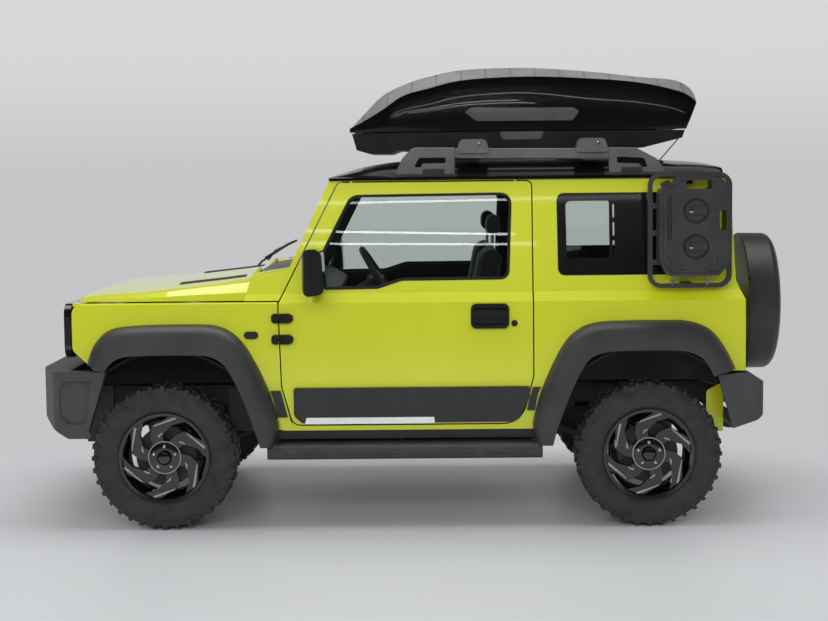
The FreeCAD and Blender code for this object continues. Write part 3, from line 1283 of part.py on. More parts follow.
# ---------------------------------------------------------------- inside the cab
SEAT_Y = 355.0


def front_seat():
    cushion = side_slab(((fa(980), 640, 40), (fa(975), 800, 60), (fa(1440), 770, 40), (fa(1440), 640, 40)),
        SEAT_Y - 220, SEAT_Y + 220)
    back = side_slab(((fa(1380), 770, 30), (fa(1490), 1310, 40), (fa(1590), 1300, 40),
        (fa(1500), 740, 40)), SEAT_Y - 210, SEAT_Y + 210)
    base = box(fa(1010), fa(1420), SEAT_Y - 180, SEAT_Y + 180, FLOOR_Z + SEAT_GAP, 645)
    head = side_slab(((fa(1500), 1330, 30), (fa(1510), 1450, 30), (fa(1590), 1450, 30),
        (fa(1590), 1330, 30)), SEAT_Y - 120, SEAT_Y + 120)
    posts = [rod((fa(1540), y, 1290), (fa(1545), y, 1350), 7) for y in (SEAT_Y - 55, SEAT_Y + 55)]
    return joined([cushion, back, base, head] + posts)


def front_seats():
    return both(front_seat())


def rear_bench():
    reach = WHEELHOUSE_Y - 20
    cushion = side_slab(((ra(-420), LOAD_Z + SEAT_GAP, 30), (ra(-425), 850, 40), (ra(-20), 820, 40),
        (ra(-20), LOAD_Z + SEAT_GAP, 20)), -reach, reach)
    back = side_slab(((ra(-80), 820, 30), (ra(20), 1180, 30), (ra(90), 1170, 30), (ra(20), 800, 30)),
        -reach, reach)
    return joined([cushion, back])


COLUMN_AXIS = V(0.848, 0, 0.53)
WHEEL_CENTRE = V(fa(1003), -SEAT_Y, 1134)
STEERING_RADIUS = 185.0


def dashboard():
    outline = (
        (fa(482) + SEAT_GAP, 1080), (fa(540), 1150, 20), (fa(700), 1150, 30), (fa(800), 1090, 40),
        (fa(790), 950, 40), (fa(640), 860, 20), (fa(482) + SEAT_GAP, 860),
    )
    body = side_slab(outline, 132 - DOOR_Y, DOOR_Y - 132)
    start = WHEEL_CENTRE - COLUMN_AXIS * 300
    end = WHEEL_CENTRE - COLUMN_AXIS * (54 + SEAT_GAP)
    column = rod(tuple(start), tuple(end), 34)
    return joined([body, column])


def steering_wheel():
    middle = STEERING_RADIUS - 15
    grip = [(0, middle + 15), (13, middle + 8), (13, middle - 8), (0, middle - 15), (-13, middle - 8),
        (-13, middle + 8)]
    ring = revolved(grip, V(0, 0, 0))
    ring.rotate(V(0, 0, 0), V(0, 1, 0).cross(COLUMN_AXIS), math.degrees(V(0, 1, 0).getAngle(COLUMN_AXIS)))
    ring.translate(WHEEL_CENTRE)
    boss = rod(tuple(WHEEL_CENTRE - COLUMN_AXIS * 54), tuple(WHEEL_CENTRE + COLUMN_AXIS * 8), 48)
    bars = [rod(tuple(WHEEL_CENTRE + V(0, -160, 0)), tuple(WHEEL_CENTRE + V(0, 160, 0)), 11)]
    down = V(0.53, 0, -0.848)
    bars.append(rod(tuple(WHEEL_CENTRE), tuple(WHEEL_CENTRE + down * 160), 11))
    return joined([ring, boss] + bars)


# ---------------------------------------------------------------- assembly
def build():
    wheels()
    doors()
    # every piece that is made once, by the name of its node
    pieces = {
        "axles": Part.makeCompound([front_axle(), rear_axle()]),
        "knuckle_right": knuckle(),
        "knuckle_left": mirrored(knuckle()),
        "tie_rod": tie_rod(),
        "ladder_frame": ladder_frame(),
        "springs_and_dampers": springs_and_dampers(),
        "suspension_arms": suspension_arms(),
        "engine": engine(),
        "drivetrain": drivetrain(),
        "fuel_tank": fuel_tank(),
        "exhaust": exhaust(),
        "floor_tub": floor_tub(),
        "side_frame_right": side_frame(),
        "side_frame_left": mirrored(side_frame()),
        "rear_frame": rear_frame(),
        "front_wings": both(front_wing()),
        "bonnet": bonnet(),
        "scuttle": scuttle(),
        "fixed_glass": fixed_glass(),
        "grille": grille(),
        "headlamps": headlamps(),
        "signal_lamps": signal_lamps(),
        "front_bumper": front_bumper(),
        "rear_bumper": rear_bumper(),
        "arch_flares": arch_flares(),
        "lower_cladding": lower_cladding(),
        "side_steps": side_steps(),
        "roof": roof(),
        "roof_rails": roof_rails(),
        "cross_bars": cross_bars(),
        "roof_box_base": roof_box_base(),
        "roof_box_lid": roof_box_lid(),
        "can_carrier": can_carrier(),
        "jerry_can": jerry_can(),
        "tailgate_shell": tailgate_shell(),
        "tailgate_glass": tailgate_glass(),
        "spare_wheel_cover": spare_wheel_cover(),
        "front_seats": front_seats(),
        "rear_bench": rear_bench(),
        "dashboard": dashboard(),
        "steering_wheel": steering_wheel(),
    }
    for name, shape in pieces.items():
        export(name, shape)


build()
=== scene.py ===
import math

import bmesh
import bpy
from mathutils import Matrix, Vector


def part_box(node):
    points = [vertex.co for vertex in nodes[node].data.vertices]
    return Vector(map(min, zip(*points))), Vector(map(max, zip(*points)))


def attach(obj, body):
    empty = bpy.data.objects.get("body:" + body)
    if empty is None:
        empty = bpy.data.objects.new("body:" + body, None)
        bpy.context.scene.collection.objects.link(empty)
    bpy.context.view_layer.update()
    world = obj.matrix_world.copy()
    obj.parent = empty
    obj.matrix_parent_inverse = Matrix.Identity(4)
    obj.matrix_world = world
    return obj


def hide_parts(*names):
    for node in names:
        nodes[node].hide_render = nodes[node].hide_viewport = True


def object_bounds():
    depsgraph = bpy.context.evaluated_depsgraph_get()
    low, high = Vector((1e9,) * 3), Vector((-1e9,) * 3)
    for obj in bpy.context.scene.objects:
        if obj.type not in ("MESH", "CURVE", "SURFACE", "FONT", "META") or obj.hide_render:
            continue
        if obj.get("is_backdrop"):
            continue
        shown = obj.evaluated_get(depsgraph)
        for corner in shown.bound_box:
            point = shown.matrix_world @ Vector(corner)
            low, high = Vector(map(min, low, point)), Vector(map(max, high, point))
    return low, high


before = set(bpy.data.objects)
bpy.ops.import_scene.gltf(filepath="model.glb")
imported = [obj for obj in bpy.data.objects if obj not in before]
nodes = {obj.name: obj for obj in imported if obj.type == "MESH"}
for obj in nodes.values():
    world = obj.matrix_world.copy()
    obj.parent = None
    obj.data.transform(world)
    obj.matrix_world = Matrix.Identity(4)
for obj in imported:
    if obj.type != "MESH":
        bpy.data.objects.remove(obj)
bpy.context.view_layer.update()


# ---------------------------------------------------------------- camera
# A long lens from the driver's side, a little above the waist line, held
# almost level so that the far sill shows under the near one.
camera_place = Vector((0.079, -8.2, 1.652))
camera_pitch = math.radians(4.914)
camera_yaw = math.radians(-0.555)
camera_roll = math.radians(0.585)

ahead = Vector((math.sin(camera_yaw) * math.cos(camera_pitch),
                math.cos(camera_yaw) * math.cos(camera_pitch),
                -math.sin(camera_pitch)))
level = Vector((math.cos(camera_yaw), -math.sin(camera_yaw), 0))
upright = level.cross(ahead)
right = level * math.cos(camera_roll) - upright * math.sin(camera_roll)
up = level * math.sin(camera_roll) + upright * math.cos(camera_roll)
camera_data = bpy.data.cameras.new("camera")
camera_data.lens = 70.24
camera_data.sensor_width = 36.0
camera = bpy.data.objects.new("camera", camera_data)
camera.matrix_world = Matrix.Translation(camera_place) @ Matrix((right, up, -ahead)).transposed().to_4x4()
bpy.context.collection.objects.link(camera)
bpy.context.scene.camera = camera
bpy.context.scene.view_settings.view_transform = "Standard"


# ---------------------------------------------------------------- studio
# A painted floor that runs into a pale wall, under a large ceiling softbox,
# with long strip lamps that draw lines on glass and gloss black.
floor_shade = 0.52
wall_low_shade = 0.56
wall_high_shade = 0.70
wall_foot_y = 1.16
wall_blend = 0.25
world_fill = 0.50
strip_lamp_y = -9.7
strip_lamp_height = 0.022
floor_half = 40


def put(obj):
    """Links a new object into the scene and hands it back."""
    bpy.context.collection.objects.link(obj)
    return obj


def new_material(name):
    """A material with its Principled shader, ready for more nodes."""
    material = bpy.data.materials.new(name)
    material.use_nodes = True
    tree = material.node_tree
    shader = tree.nodes["Principled BSDF"]
    return material, tree, shader


def ramp(tree, factor, stops):
    """Colour ramp from (place, colour) stops; a plain number means a grey."""
    node = tree.nodes.new("ShaderNodeValToRGB")
    while len(node.color_ramp.elements) < len(stops):
        node.color_ramp.elements.new(0.5)
    for element, (place, colour) in zip(node.color_ramp.elements, stops):
        element.position = place
        element.color = (*colour, 1) if isinstance(colour, tuple) else (colour, colour, colour, 1)
    tree.links.new(factor, node.inputs["Fac"])
    return node.outputs["Color"]


def maths(tree, operation, first, second=0.5):
    """One sum on two numbers, either of which may be another node's output."""
    node = tree.nodes.new("ShaderNodeMath")
    node.operation = operation
    for socket, value in zip(node.inputs, (first, second)):
        if isinstance(value, (int, float)):
            socket.default_value = value
        else:
            tree.links.new(value, socket)
    return node.outputs[0]


def mix_shaders(tree, share, first, second):
    """Mixes two shaders by a mask."""
    node = tree.nodes.new("ShaderNodeMixShader")
    for socket, source in zip(node.inputs, (share, first, second)):
        tree.links.new(source, socket)
    return node.outputs[0]


def object_axes(tree):
    """Object coordinates, whole and parted into X, Y and Z."""
    where = tree.nodes.new("ShaderNodeTexCoord")
    split = tree.nodes.new("ShaderNodeSeparateXYZ")
    tree.links.new(where.outputs["Object"], split.inputs[0])
    return where.outputs["Object"], split.outputs


world = bpy.data.worlds.new("studio")
world.use_nodes = True
bpy.context.scene.world = world
sky = world.node_tree
direction = sky.nodes.new("ShaderNodeTexCoord")
rise = sky.nodes.new("ShaderNodeSeparateXYZ")
sky.links.new(direction.outputs["Generated"], rise.inputs[0])
wall_tone = ramp(sky, rise.outputs["Z"], [(0.0, wall_low_shade), (0.06, 0.67), (0.16, wall_high_shade)])
# glass and gloss see a pale wall on the far side and a dark room on the near one
far_wall = ramp(sky, rise.outputs["Z"], [(0.0, 0.60), (0.25, 0.62), (0.45, 0.06), (0.8, 0.03)])
towards_far_wall = ramp(sky, rise.outputs["Y"], [(0.25, 0.035), (0.5, 1.0)])
mirror_mix = sky.nodes.new("ShaderNodeMix")
mirror_mix.data_type = "RGBA"
mirror_mix.blend_type = "MULTIPLY"
mirror_mix.inputs[0].default_value = 1.0
sky.links.new(far_wall, mirror_mix.inputs[6])
sky.links.new(towards_far_wall, mirror_mix.inputs[7])
paths = sky.nodes.new("ShaderNodeLightPath")
lit = sky.nodes["Background"]
lit.inputs["Color"].default_value = (0.95, 0.97, 1.0, 1)
lit.inputs["Strength"].default_value = world_fill
mirrored_wall = sky.nodes.new("ShaderNodeBackground")
sky.links.new(mirror_mix.outputs[2], mirrored_wall.inputs["Color"])
shown_wall = sky.nodes.new("ShaderNodeBackground")
sky.links.new(wall_tone, shown_wall.inputs["Color"])
bounced = maths(sky, "MAXIMUM", paths.outputs["Is Glossy Ray"], paths.outputs["Is Transmission Ray"])
unseen = mix_shaders(sky, bounced, lit.outputs[0], mirrored_wall.outputs[0])
seen = mix_shaders(sky, paths.outputs["Is Camera Ray"], unseen, shown_wall.outputs[0])
sky.links.new(seen, sky.nodes["World Output"].inputs["Surface"])

floor_mesh = bpy.data.meshes.new("floor")
floor_corners = [(x * floor_half, y * floor_half, 0) for x, y in ((-1, -1), (1, -1), (1, 1), (-1, 1))]
floor_mesh.from_pydata(floor_corners, [], [(0, 1, 2, 3)])
floor = put(bpy.data.objects.new("floor", floor_mesh))
floor_material, tree, shader = new_material("floor_paint")
spot, axes = object_axes(tree)
mottle = tree.nodes.new("ShaderNodeTexNoise")
mottle.inputs["Scale"].default_value = 1.5
tree.links.new(spot, mottle.inputs["Vector"])
tone = ramp(tree, mottle.outputs["Fac"], [(0.3, (floor_shade * 0.98, floor_shade, floor_shade * 1.02)),
                                          (0.7, (floor_shade, floor_shade * 1.02, floor_shade * 1.05))])
tree.links.new(tone, shader.inputs["Base Color"])
shader.inputs["Roughness"].default_value = 0.42
shader.inputs["Specular IOR Level"].default_value = 0.35
beyond = tree.nodes.new("ShaderNodeMapRange")
beyond.inputs["From Min"].default_value = wall_foot_y
beyond.inputs["From Max"].default_value = wall_foot_y + wall_blend
tree.links.new(axes["Y"], beyond.inputs["Value"])
wall_glow = tree.nodes.new("ShaderNodeEmission")
wall_glow.inputs["Color"].default_value = (wall_low_shade, wall_low_shade, wall_low_shade * 1.02, 1)
floor_or_wall = mix_shaders(tree, beyond.outputs[0], shader.outputs[0], wall_glow.outputs[0])
tree.links.new(floor_or_wall, tree.nodes["Material Output"].inputs["Surface"])
floor_mesh.materials.append(floor_material)
floor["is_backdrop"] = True


def area_lamp(name, place, aim, size, watts, mirrored=True):
    """Rectangular lamp at a place, turned towards a point; gloss may not mirror it."""
    data = bpy.data.lights.new(name, "AREA")
    data.shape = "RECTANGLE"
    data.size, data.size_y = size
    data.energy = watts
    lamp = put(bpy.data.objects.new(name, data))
    lamp.location = place
    lamp.rotation_euler = (Vector(aim) - Vector(place)).to_track_quat("-Z", "Y").to_euler()
    lamp.visible_glossy = mirrored
    lamp.visible_transmission = mirrored
    return lamp


area_lamp("ceiling_softbox", (0, -0.3, 5.2), (0, 0, 0.5), (6.0, 3.4), 190)
area_lamp("near_side_softbox", (-0.6, -7.5, 3.4), (0, 0, 0.8), (6.0, 2.6), 300, mirrored=False)
for name, x, z, length, watts in (("high", 0.5, 3.5, 9.0, 4), ("middle", -1.2, 3.19, 4.4, 2.6),
                                  ("low", -0.6, 3.05, 3.6, 1.9)):
    area_lamp(f"near_strip_{name}", (x, strip_lamp_y, z), (0, 0, 1.2), (length, strip_lamp_height), watts)
area_lamp("far_side_softbox", (0.5, 6.5, 3.6), (0, 0, 0.9), (6.0, 2.4), 140, mirrored=False)
area_lamp("nose_softbox", (-6.5, -1.0, 3.0), (-1.5, 0, 0.8), (3.0, 2.4), 70, mirrored=False)
area_lamp("tail_softbox", (6.5, 0.5, 3.0), (1.5, 0, 0.9), (3.0, 2.4), 70, mirrored=False)


# ---------------------------------------------------------------- ladder frame, axles and arms
# Pressed and welded steel under the cab, dipped in black, with cast housings
# bolted in. A grain group gives every finish on the car its fine surface.
def new_group(name, settings, results):
    """Empty shader group with number inputs and outputs: the tree, its inputs and its outputs."""
    group = bpy.data.node_groups.new(name, "ShaderNodeTree")
    for socket_name, value in settings:
        socket = group.interface.new_socket(socket_name, in_out="INPUT", socket_type="NodeSocketFloat")
        socket.default_value = value
    for socket_name in results:
        group.interface.new_socket(socket_name, in_out="OUTPUT", socket_type="NodeSocketFloat")
    return group, group.nodes.new("NodeGroupInput").outputs, group.nodes.new("NodeGroupOutput").inputs


def build_grain_group():
    """Shader group: an even fine grain with slow blotches, as height and mask."""
    settings = (("Grain Scale", 900.0), ("Blotch Scale", 6.0), ("Blotch Share", 0.3))
    group, given, result = new_group("fine_grain", settings, ("Height", "Blotch"))
    where = group.nodes.new("ShaderNodeTexCoord")
    grain = group.nodes.new("ShaderNodeTexNoise")
    grain.inputs["Detail"].default_value = 3
    blotch = group.nodes.new("ShaderNodeTexNoise")
    blotch.inputs["Detail"].default_value = 4
    blend = group.nodes.new("ShaderNodeMix")
    group.links.new(where.outputs["Object"], grain.inputs["Vector"])
    group.links.new(where.outputs["Object"], blotch.inputs["Vector"])
    group.links.new(given["Grain Scale"], grain.inputs["Scale"])
    group.links.new(given["Blotch Scale"], blotch.inputs["Scale"])
    group.links.new(given["Blotch Share"], blend.inputs["Factor"])
    group.links.new(grain.outputs["Fac"], blend.inputs["A"])
    group.links.new(blotch.outputs["Fac"], blend.inputs["B"])
    group.links.new(blend.outputs["Result"], result["Height"])
    group.links.new(blotch.outputs["Fac"], result["Blotch"])
    return group


grain_group = build_grain_group()


def surface_pattern(tree, grain=900.0, blotch=6.0):
    """The grain group in a material; its outputs are Height and Blotch."""
    pattern = tree.nodes.new("ShaderNodeGroup")
    pattern.node_tree = grain_group
    pattern.inputs["Grain Scale"].default_value = grain
    pattern.inputs["Blotch Scale"].default_value = blotch
    return pattern.outputs


def raise_surface(tree, shader, height, strength, distance):
    """Feeds a height into the shader's normal."""
    raised = tree.nodes.new("ShaderNodeBump")
    raised.inputs["Strength"].default_value = strength
    raised.inputs["Distance"].default_value = distance
    tree.links.new(height, raised.inputs["Height"])
    tree.links.new(raised.outputs["Normal"], shader.inputs["Normal"])


def finish(name, dark, light, roughness, grain=900.0, blotch=6.0, bump=0.05, depth=0.0005,
           metallic=0.0, coat=0.0, coat_roughness=0.05, rough_spread=0.08):
    """A worked surface: two near tones in slow blotches over a fine grain."""
    material, tree, shader = new_material(name)
    pattern = surface_pattern(tree, grain, blotch)
    tone = ramp(tree, pattern["Blotch"], [(0.3, dark), (0.7, light)])
    tree.links.new(tone, shader.inputs["Base Color"])
    spread = tree.nodes.new("ShaderNodeMapRange")
    spread.inputs["To Min"].default_value = roughness - rough_spread / 2
    spread.inputs["To Max"].default_value = roughness + rough_spread / 2
    tree.links.new(pattern["Blotch"], spread.inputs["Value"])
    tree.links.new(spread.outputs[0], shader.inputs["Roughness"])
    raise_surface(tree, shader, pattern["Height"], bump, depth)
    shader.inputs["Metallic"].default_value = metallic
    shader.inputs["Coat Weight"].default_value = coat
    shader.inputs["Coat Roughness"].default_value = coat_roughness
    return material


def dress(material, *names):
    """Gives carried-over solids their finish."""
    for name in names:
        mesh = nodes[name].data
        mesh.materials.clear()
        mesh.materials.append(material)


chassis_black = finish("chassis_black", (0.012, 0.012, 0.013), (0.022, 0.022, 0.022), 0.55, grain=500,
                       blotch=12, bump=0.3, depth=0.0006)
cast_metal = finish("cast_metal", (0.03, 0.03, 0.03), (0.07, 0.068, 0.066), 0.5, grain=700, blotch=18,
                    bump=0.4, depth=0.0006, metallic=0.6, rough_spread=0.2)
worn_steel = finish("worn_steel", (0.10, 0.095, 0.09), (0.2, 0.19, 0.175), 0.42, grain=400, blotch=14,
                    bump=0.15, depth=0.0004, metallic=0.9, rough_spread=0.2)
dress(chassis_black, "ladder_frame", "axles", "suspension_arms", "fuel_tank", "floor_tub", "tie_rod")
dress(cast_metal, "engine", "drivetrain", "knuckle_left", "knuckle_right")
dress(worn_steel, "exhaust")


# ---------------------------------------------------------------- coil springs and dampers
# Wound spring-steel coils between axle and frame, each with a tube damper
# beside it whose bright piston rod runs up to a rubber bush on a frame pin.
def centre_of(node):
    """Middle of a solid's box."""
    low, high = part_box(node)
    return (low + high) / 2


front_x = centre_of("tyre_front_left").x
rear_x = centre_of("tyre_rear_left").x
hub_z = centre_of("tyre_front_left").z


def fore(distance):
    """x of a place so many millimetres behind the front axle."""
    return front_x + distance / 1000


def aft(distance):
    """x of a place so many millimetres behind the rear axle."""
    return rear_x + distance / 1000


def mesh_of(work, name):
    """A new mesh from a bmesh, which ends with it."""
    mesh = bpy.data.meshes.new(name)
    work.to_mesh(mesh)
    work.free()
    return mesh


def merged(name, meshes):
    """One mesh from several, each kept as it is."""
    work = bmesh.new()
    for mesh in meshes:
        work.from_mesh(mesh)
    return mesh_of(work, name)


def solid(name, mesh, material, body, sharp=35.0, bevel=0.0, stands_for=()):
    """Finishes one mesh or a list as a piece: merged, faces out, edges eased, riding on its body."""
    if isinstance(mesh, list):
        mesh = merged(name, mesh)
    work = bmesh.new()
    work.from_mesh(mesh)
    bmesh.ops.remove_doubles(work, verts=work.verts, dist=0.00001)
    bmesh.ops.recalc_face_normals(work, faces=work.faces)
    work.to_mesh(mesh)
    work.free()
    piece = put(bpy.data.objects.new(name, mesh))
    if bevel:
        ease = piece.modifiers.new("eased_edges", "BEVEL")
        ease.width = bevel
        ease.segments = 2
        ease.limit_method = "ANGLE"
        ease.angle_limit = math.radians(sharp)
        ease.use_clamp_overlap = True
    mesh.polygons.foreach_set("use_smooth", [True] * len(mesh.polygons))
    mesh.set_sharp_from_angle(angle=math.radians(sharp))
    if not mesh.materials:
        mesh.materials.append(material)
    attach(piece, body)
    if stands_for:
        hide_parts(*stands_for)
    return piece


def moved(mesh, matrix):
    """A copy of a mesh at another place."""
    result = mesh.copy()
    result.transform(matrix)
    return result


def both_sides(mesh):
    """A mesh together with its mirror image across the car's middle."""
    return merged(mesh.name, [mesh, moved(mesh, Matrix.Diagonal((1, -1, 1, 1)))])


def loft(name, rings, looped=True, capped=True, wrapped=False, wall=0.0, second=()):
    """Skin over a row of rings of places.

    Rings are looped or open. The end rings are capped, or wrapped round to each other. An open skin may
    get a wall. The strips named in second take the second material.
    """
    work = bmesh.new()
    rows = [[work.verts.new(place) for place in ring] for ring in rings]
    count = len(rows[0])
    for one, two in zip(rows, rows[1:] + (rows[:1] if wrapped else [])):
        for k in range(count if looped else count - 1):
            after = (k + 1) % count
            face = work.faces.new((one[k], one[after], two[after], two[k]))
            face.material_index = 1 if k in second else 0
    if capped:
        work.faces.new(rows[0])
        work.faces.new(rows[-1])
    if wrapped:
        bmesh.ops.remove_doubles(work, verts=work.verts, dist=0.000001)
    if wall:
        bmesh.ops.solidify(work, geom=list(work.faces), thickness=wall)
    return mesh_of(work, name)


def tube(points, radius, sides=12):
    """Round bar along a row of points, with flat ends."""
    points = [Vector(point) for point in points]
    rings = []
    normal = None
    for i, point in enumerate(points):
        along = (points[min(i + 1, len(points) - 1)] - points[max(i - 1, 0)]).normalized()
        if normal is None:
            normal = along.orthogonal().normalized()
        normal = (normal - along * normal.dot(along)).normalized()
        across = along.cross(normal)
        turns = [2 * math.pi * k / sides for k in range(sides)]
        rings.append([point + (normal * math.cos(turn) + across * math.sin(turn)) * radius for turn in turns])
    return loft("tube", rings)


spring_y = 0.370
damper_y = 0.432
coil_turns = 6.5
coil_wire = 0.0065
coil_radius = 0.044
spring_foot = hub_z + 0.0385
coils = []
damper_tubes = []
piston_rods = []
for axle_x, spring_top, damper_x in ((front_x, 0.524, fore(90)), (rear_x, 0.529, aft(-90))):
    coil = []
    steps = int(coil_turns * 24)
    for i in range(steps + 1):
        share = i / steps
        turn = 2 * math.pi * coil_turns * share
        rise = spring_foot + coil_wire + (spring_top - spring_foot - 2 * coil_wire) * share
        coil.append((axle_x + coil_radius * math.cos(turn), spring_y + coil_radius * math.sin(turn), rise))
    coils.append(both_sides(tube(coil, coil_wire, sides=8)))
    seat = tube([(axle_x, spring_y, spring_top - 0.008), (axle_x, spring_y, spring_top)], 0.051, sides=32)
    coils.append(both_sides(seat))
    foot = (damper_x, damper_y, hub_z + 0.0145)
    neck = (damper_x, damper_y, 0.490)
    head = (damper_x, damper_y, 0.598)
    damper_tubes.append(both_sides(tube([foot, neck], 0.020, sides=24)))
    bush = tube([(damper_x, 0.4005, 0.585), (damper_x, 0.446, 0.585)], 0.013, sides=20)
    damper_tubes.append(both_sides(bush))
    piston_rods.append(both_sides(tube([neck, head], 0.0085, sides=16)))
spring_paint = finish("spring_paint", (0.02, 0.02, 0.022), (0.03, 0.03, 0.032), 0.35, grain=600, blotch=20,
                      bump=0.1)
bright_steel = finish("bright_steel", (0.48, 0.48, 0.49), (0.6, 0.6, 0.61), 0.22, grain=500, blotch=30,
                      bump=0.05, metallic=1.0)
solid("coil_springs", coils, spring_paint, "body",
                stands_for=("springs_and_dampers",))
solid("damper_tubes", damper_tubes, chassis_black, "body")
solid("damper_rods", piston_rods, bright_steel, "body")


# ---------------------------------------------------------------- wheels
# Coarse-lugged off-road tyres on cast wheels: six gloss-black spokes, each
# with a milled bright bar, and a ring of nuts round a pressed centre cap.
# A geometry node tree sets out each ring of lugs, spokes, bars and nuts.
wheel_y = 0.705
tyre_radius = hub_z
bead_radius = 0.200
shoulder_lugs = 36
tread_pitch = 28
spoke_count = 6


def lathe(profile, steps=72):
    """Ring turned about the wheel's axis, from (offset along the axis, radius) points."""
    turns = [2 * math.pi * i / steps for i in range(steps)]
    rings = [[(r * math.sin(turn), y, r * math.cos(turn)) for y, r in profile] for turn in turns]
    return loft("turned", rings, capped=False, wrapped=True)


def rounded(corners, arc_steps=5):
    """Outline from (u, v) or (u, v, radius) corners in millimetres, with the corners rounded, in metres."""
    points = []
    count = len(corners)
    for i, corner in enumerate(corners):
        here = Vector(corner[:2]) / 1000
        radius = corner[2] / 1000 if len(corner) > 2 else 0
        back = Vector(corners[i - 1][:2]) / 1000 - here
        on = Vector(corners[(i + 1) % count][:2]) / 1000 - here
        half = back.angle(on) / 2
        if radius == 0 or half > 1.55:
            points.append(here)
            continue
        reach = min(radius / math.tan(half), back.length * 0.49, on.length * 0.49)
        radius = reach * math.tan(half)
        start = here + back.normalized() * reach
        centre = here + (back.normalized() + on.normalized()).normalized() * radius / math.sin(half)
        sweep = start - centre
        total = sweep.angle_signed(here + on.normalized() * reach - centre)
        for k in range(arc_steps + 1):
            turn = -total * k / arc_steps
            cos, sin = math.cos(turn), math.sin(turn)
            points.append(centre + Vector((sweep.x * cos - sweep.y * sin, sweep.x * sin + sweep.y * cos)))
    return points


def along_car(u, v, depth):
    """Lays an outline in the car's length and height, depth being y; so also on a wheel's outer face."""
    return u, depth, v


def slab(outline, low, high, lay=along_car, holes=()):
    """Plate between two depths from a flat outline; lay places (u, v, depth) in the car."""
    work = bmesh.new()
    edges = []
    for loop in (outline, *holes):
        verts = [work.verts.new((point[0], point[1], 0)) for point in loop]
        edges += [work.edges.new((one, two)) for one, two in zip(verts, verts[1:] + verts[:1])]
    if holes:
        bmesh.ops.triangle_fill(work, edges=edges, use_beauty=True, use_dissolve=False)
    else:
        work.faces.new([edge.verts[0] for edge in edges])
    lifted = bmesh.ops.extrude_face_region(work, geom=list(work.faces), use_keep_orig=True)
    for item in lifted["geom"]:
        if isinstance(item, bmesh.types.BMVert):
            item.co.z = 1
    for vert in work.verts:
        depth = high if vert.co.z > 0.5 else low
        vert.co = Vector(lay(vert.co.x, vert.co.y, depth))
    bmesh.ops.recalc_face_normals(work, faces=work.faces)
    return mesh_of(work, "slab")


def build_ring_tree():
    """Geometry nodes: copies of a shape in a ring about the wheel's axis."""
    tree = bpy.data.node_groups.new("ring_of_copies", "GeometryNodeTree")
    for name, kind in (("Geometry", "Geometry"), ("Shape", "Object"), ("Count", "Int"), ("Start", "Float"),
                       ("Finish", "Material")):
        tree.interface.new_socket(name, in_out="INPUT", socket_type=f"NodeSocket{kind}")
    tree.interface.new_socket("Geometry", in_out="OUTPUT", socket_type="NodeSocketGeometry")
    given = tree.nodes.new("NodeGroupInput")
    result = tree.nodes.new("NodeGroupOutput")
    points = tree.nodes.new("GeometryNodePoints")
    shape = tree.nodes.new("GeometryNodeObjectInfo")
    index = tree.nodes.new("GeometryNodeInputIndex")
    step = maths(tree, "DIVIDE", 2 * math.pi, given.outputs["Count"])
    turn = maths(tree, "ADD", maths(tree, "MULTIPLY", index.outputs[0], step), given.outputs["Start"])
    spin = tree.nodes.new("ShaderNodeCombineXYZ")
    placed = tree.nodes.new("GeometryNodeInstanceOnPoints")
    real = tree.nodes.new("GeometryNodeRealizeInstances")
    painted = tree.nodes.new("GeometryNodeSetMaterial")
    tree.links.new(given.outputs["Count"], points.inputs["Count"])
    tree.links.new(given.outputs["Shape"], shape.inputs["Object"])
    tree.links.new(turn, spin.inputs["Y"])
    tree.links.new(points.outputs[0], placed.inputs["Points"])
    tree.links.new(shape.outputs["Geometry"], placed.inputs["Instance"])
    tree.links.new(spin.outputs[0], placed.inputs["Rotation"])
    tree.links.new(placed.outputs[0], real.inputs[0])
    tree.links.new(real.outputs[0], painted.inputs["Geometry"])
    tree.links.new(given.outputs["Finish"], painted.inputs["Material"])
    tree.links.new(painted.outputs[0], result.inputs["Geometry"])
    return tree


ring_tree = build_ring_tree()


def ring_of(shape_mesh, count, material, start=0.0):
    """Plain mesh of copies of a shape in an even ring about the wheel's axis."""
    shape = put(bpy.data.objects.new("shape_to_copy", shape_mesh))
    holder = put(bpy.data.objects.new("copies", bpy.data.meshes.new("copies")))
    copier = holder.modifiers.new("copies", "NODES")
    copier.node_group = ring_tree
    values = {"Shape": shape, "Finish": material, "Count": count, "Start": start}
    for item in ring_tree.interface.items_tree:
        if item.in_out == "INPUT" and item.name in values:
            copier[item.identifier] = values[item.name]
    graph = bpy.context.evaluated_depsgraph_get()
    graph.update()
    mesh = bpy.data.meshes.new_from_object(holder.evaluated_get(graph))
    bpy.data.objects.remove(holder)
    bpy.data.objects.remove(shape)
    return mesh


def crosswise(u, v, depth):
    """Lays an outline of the wheel's section: u along the axle, v out from it, depth round the tread."""
    return depth, u, v


tyre_rubber = finish("tyre_rubber", (0.018, 0.0175, 0.018), (0.033, 0.032, 0.033), 0.6, grain=1100, blotch=22,
                     bump=0.3, depth=0.0005, rough_spread=0.16)
wheel_black = finish("wheel_black", (0.002, 0.002, 0.0022), (0.0035, 0.0035, 0.0038), 0.2, grain=350,
                     blotch=4, bump=0.02, depth=0.0002, coat=1.0, coat_roughness=0.04, rough_spread=0.05)
milled_bright = finish("milled_bright", (0.42, 0.42, 0.43), (0.55, 0.55, 0.56), 0.26, grain=700, blotch=30,
                       bump=0.08, depth=0.0002, metallic=1.0)

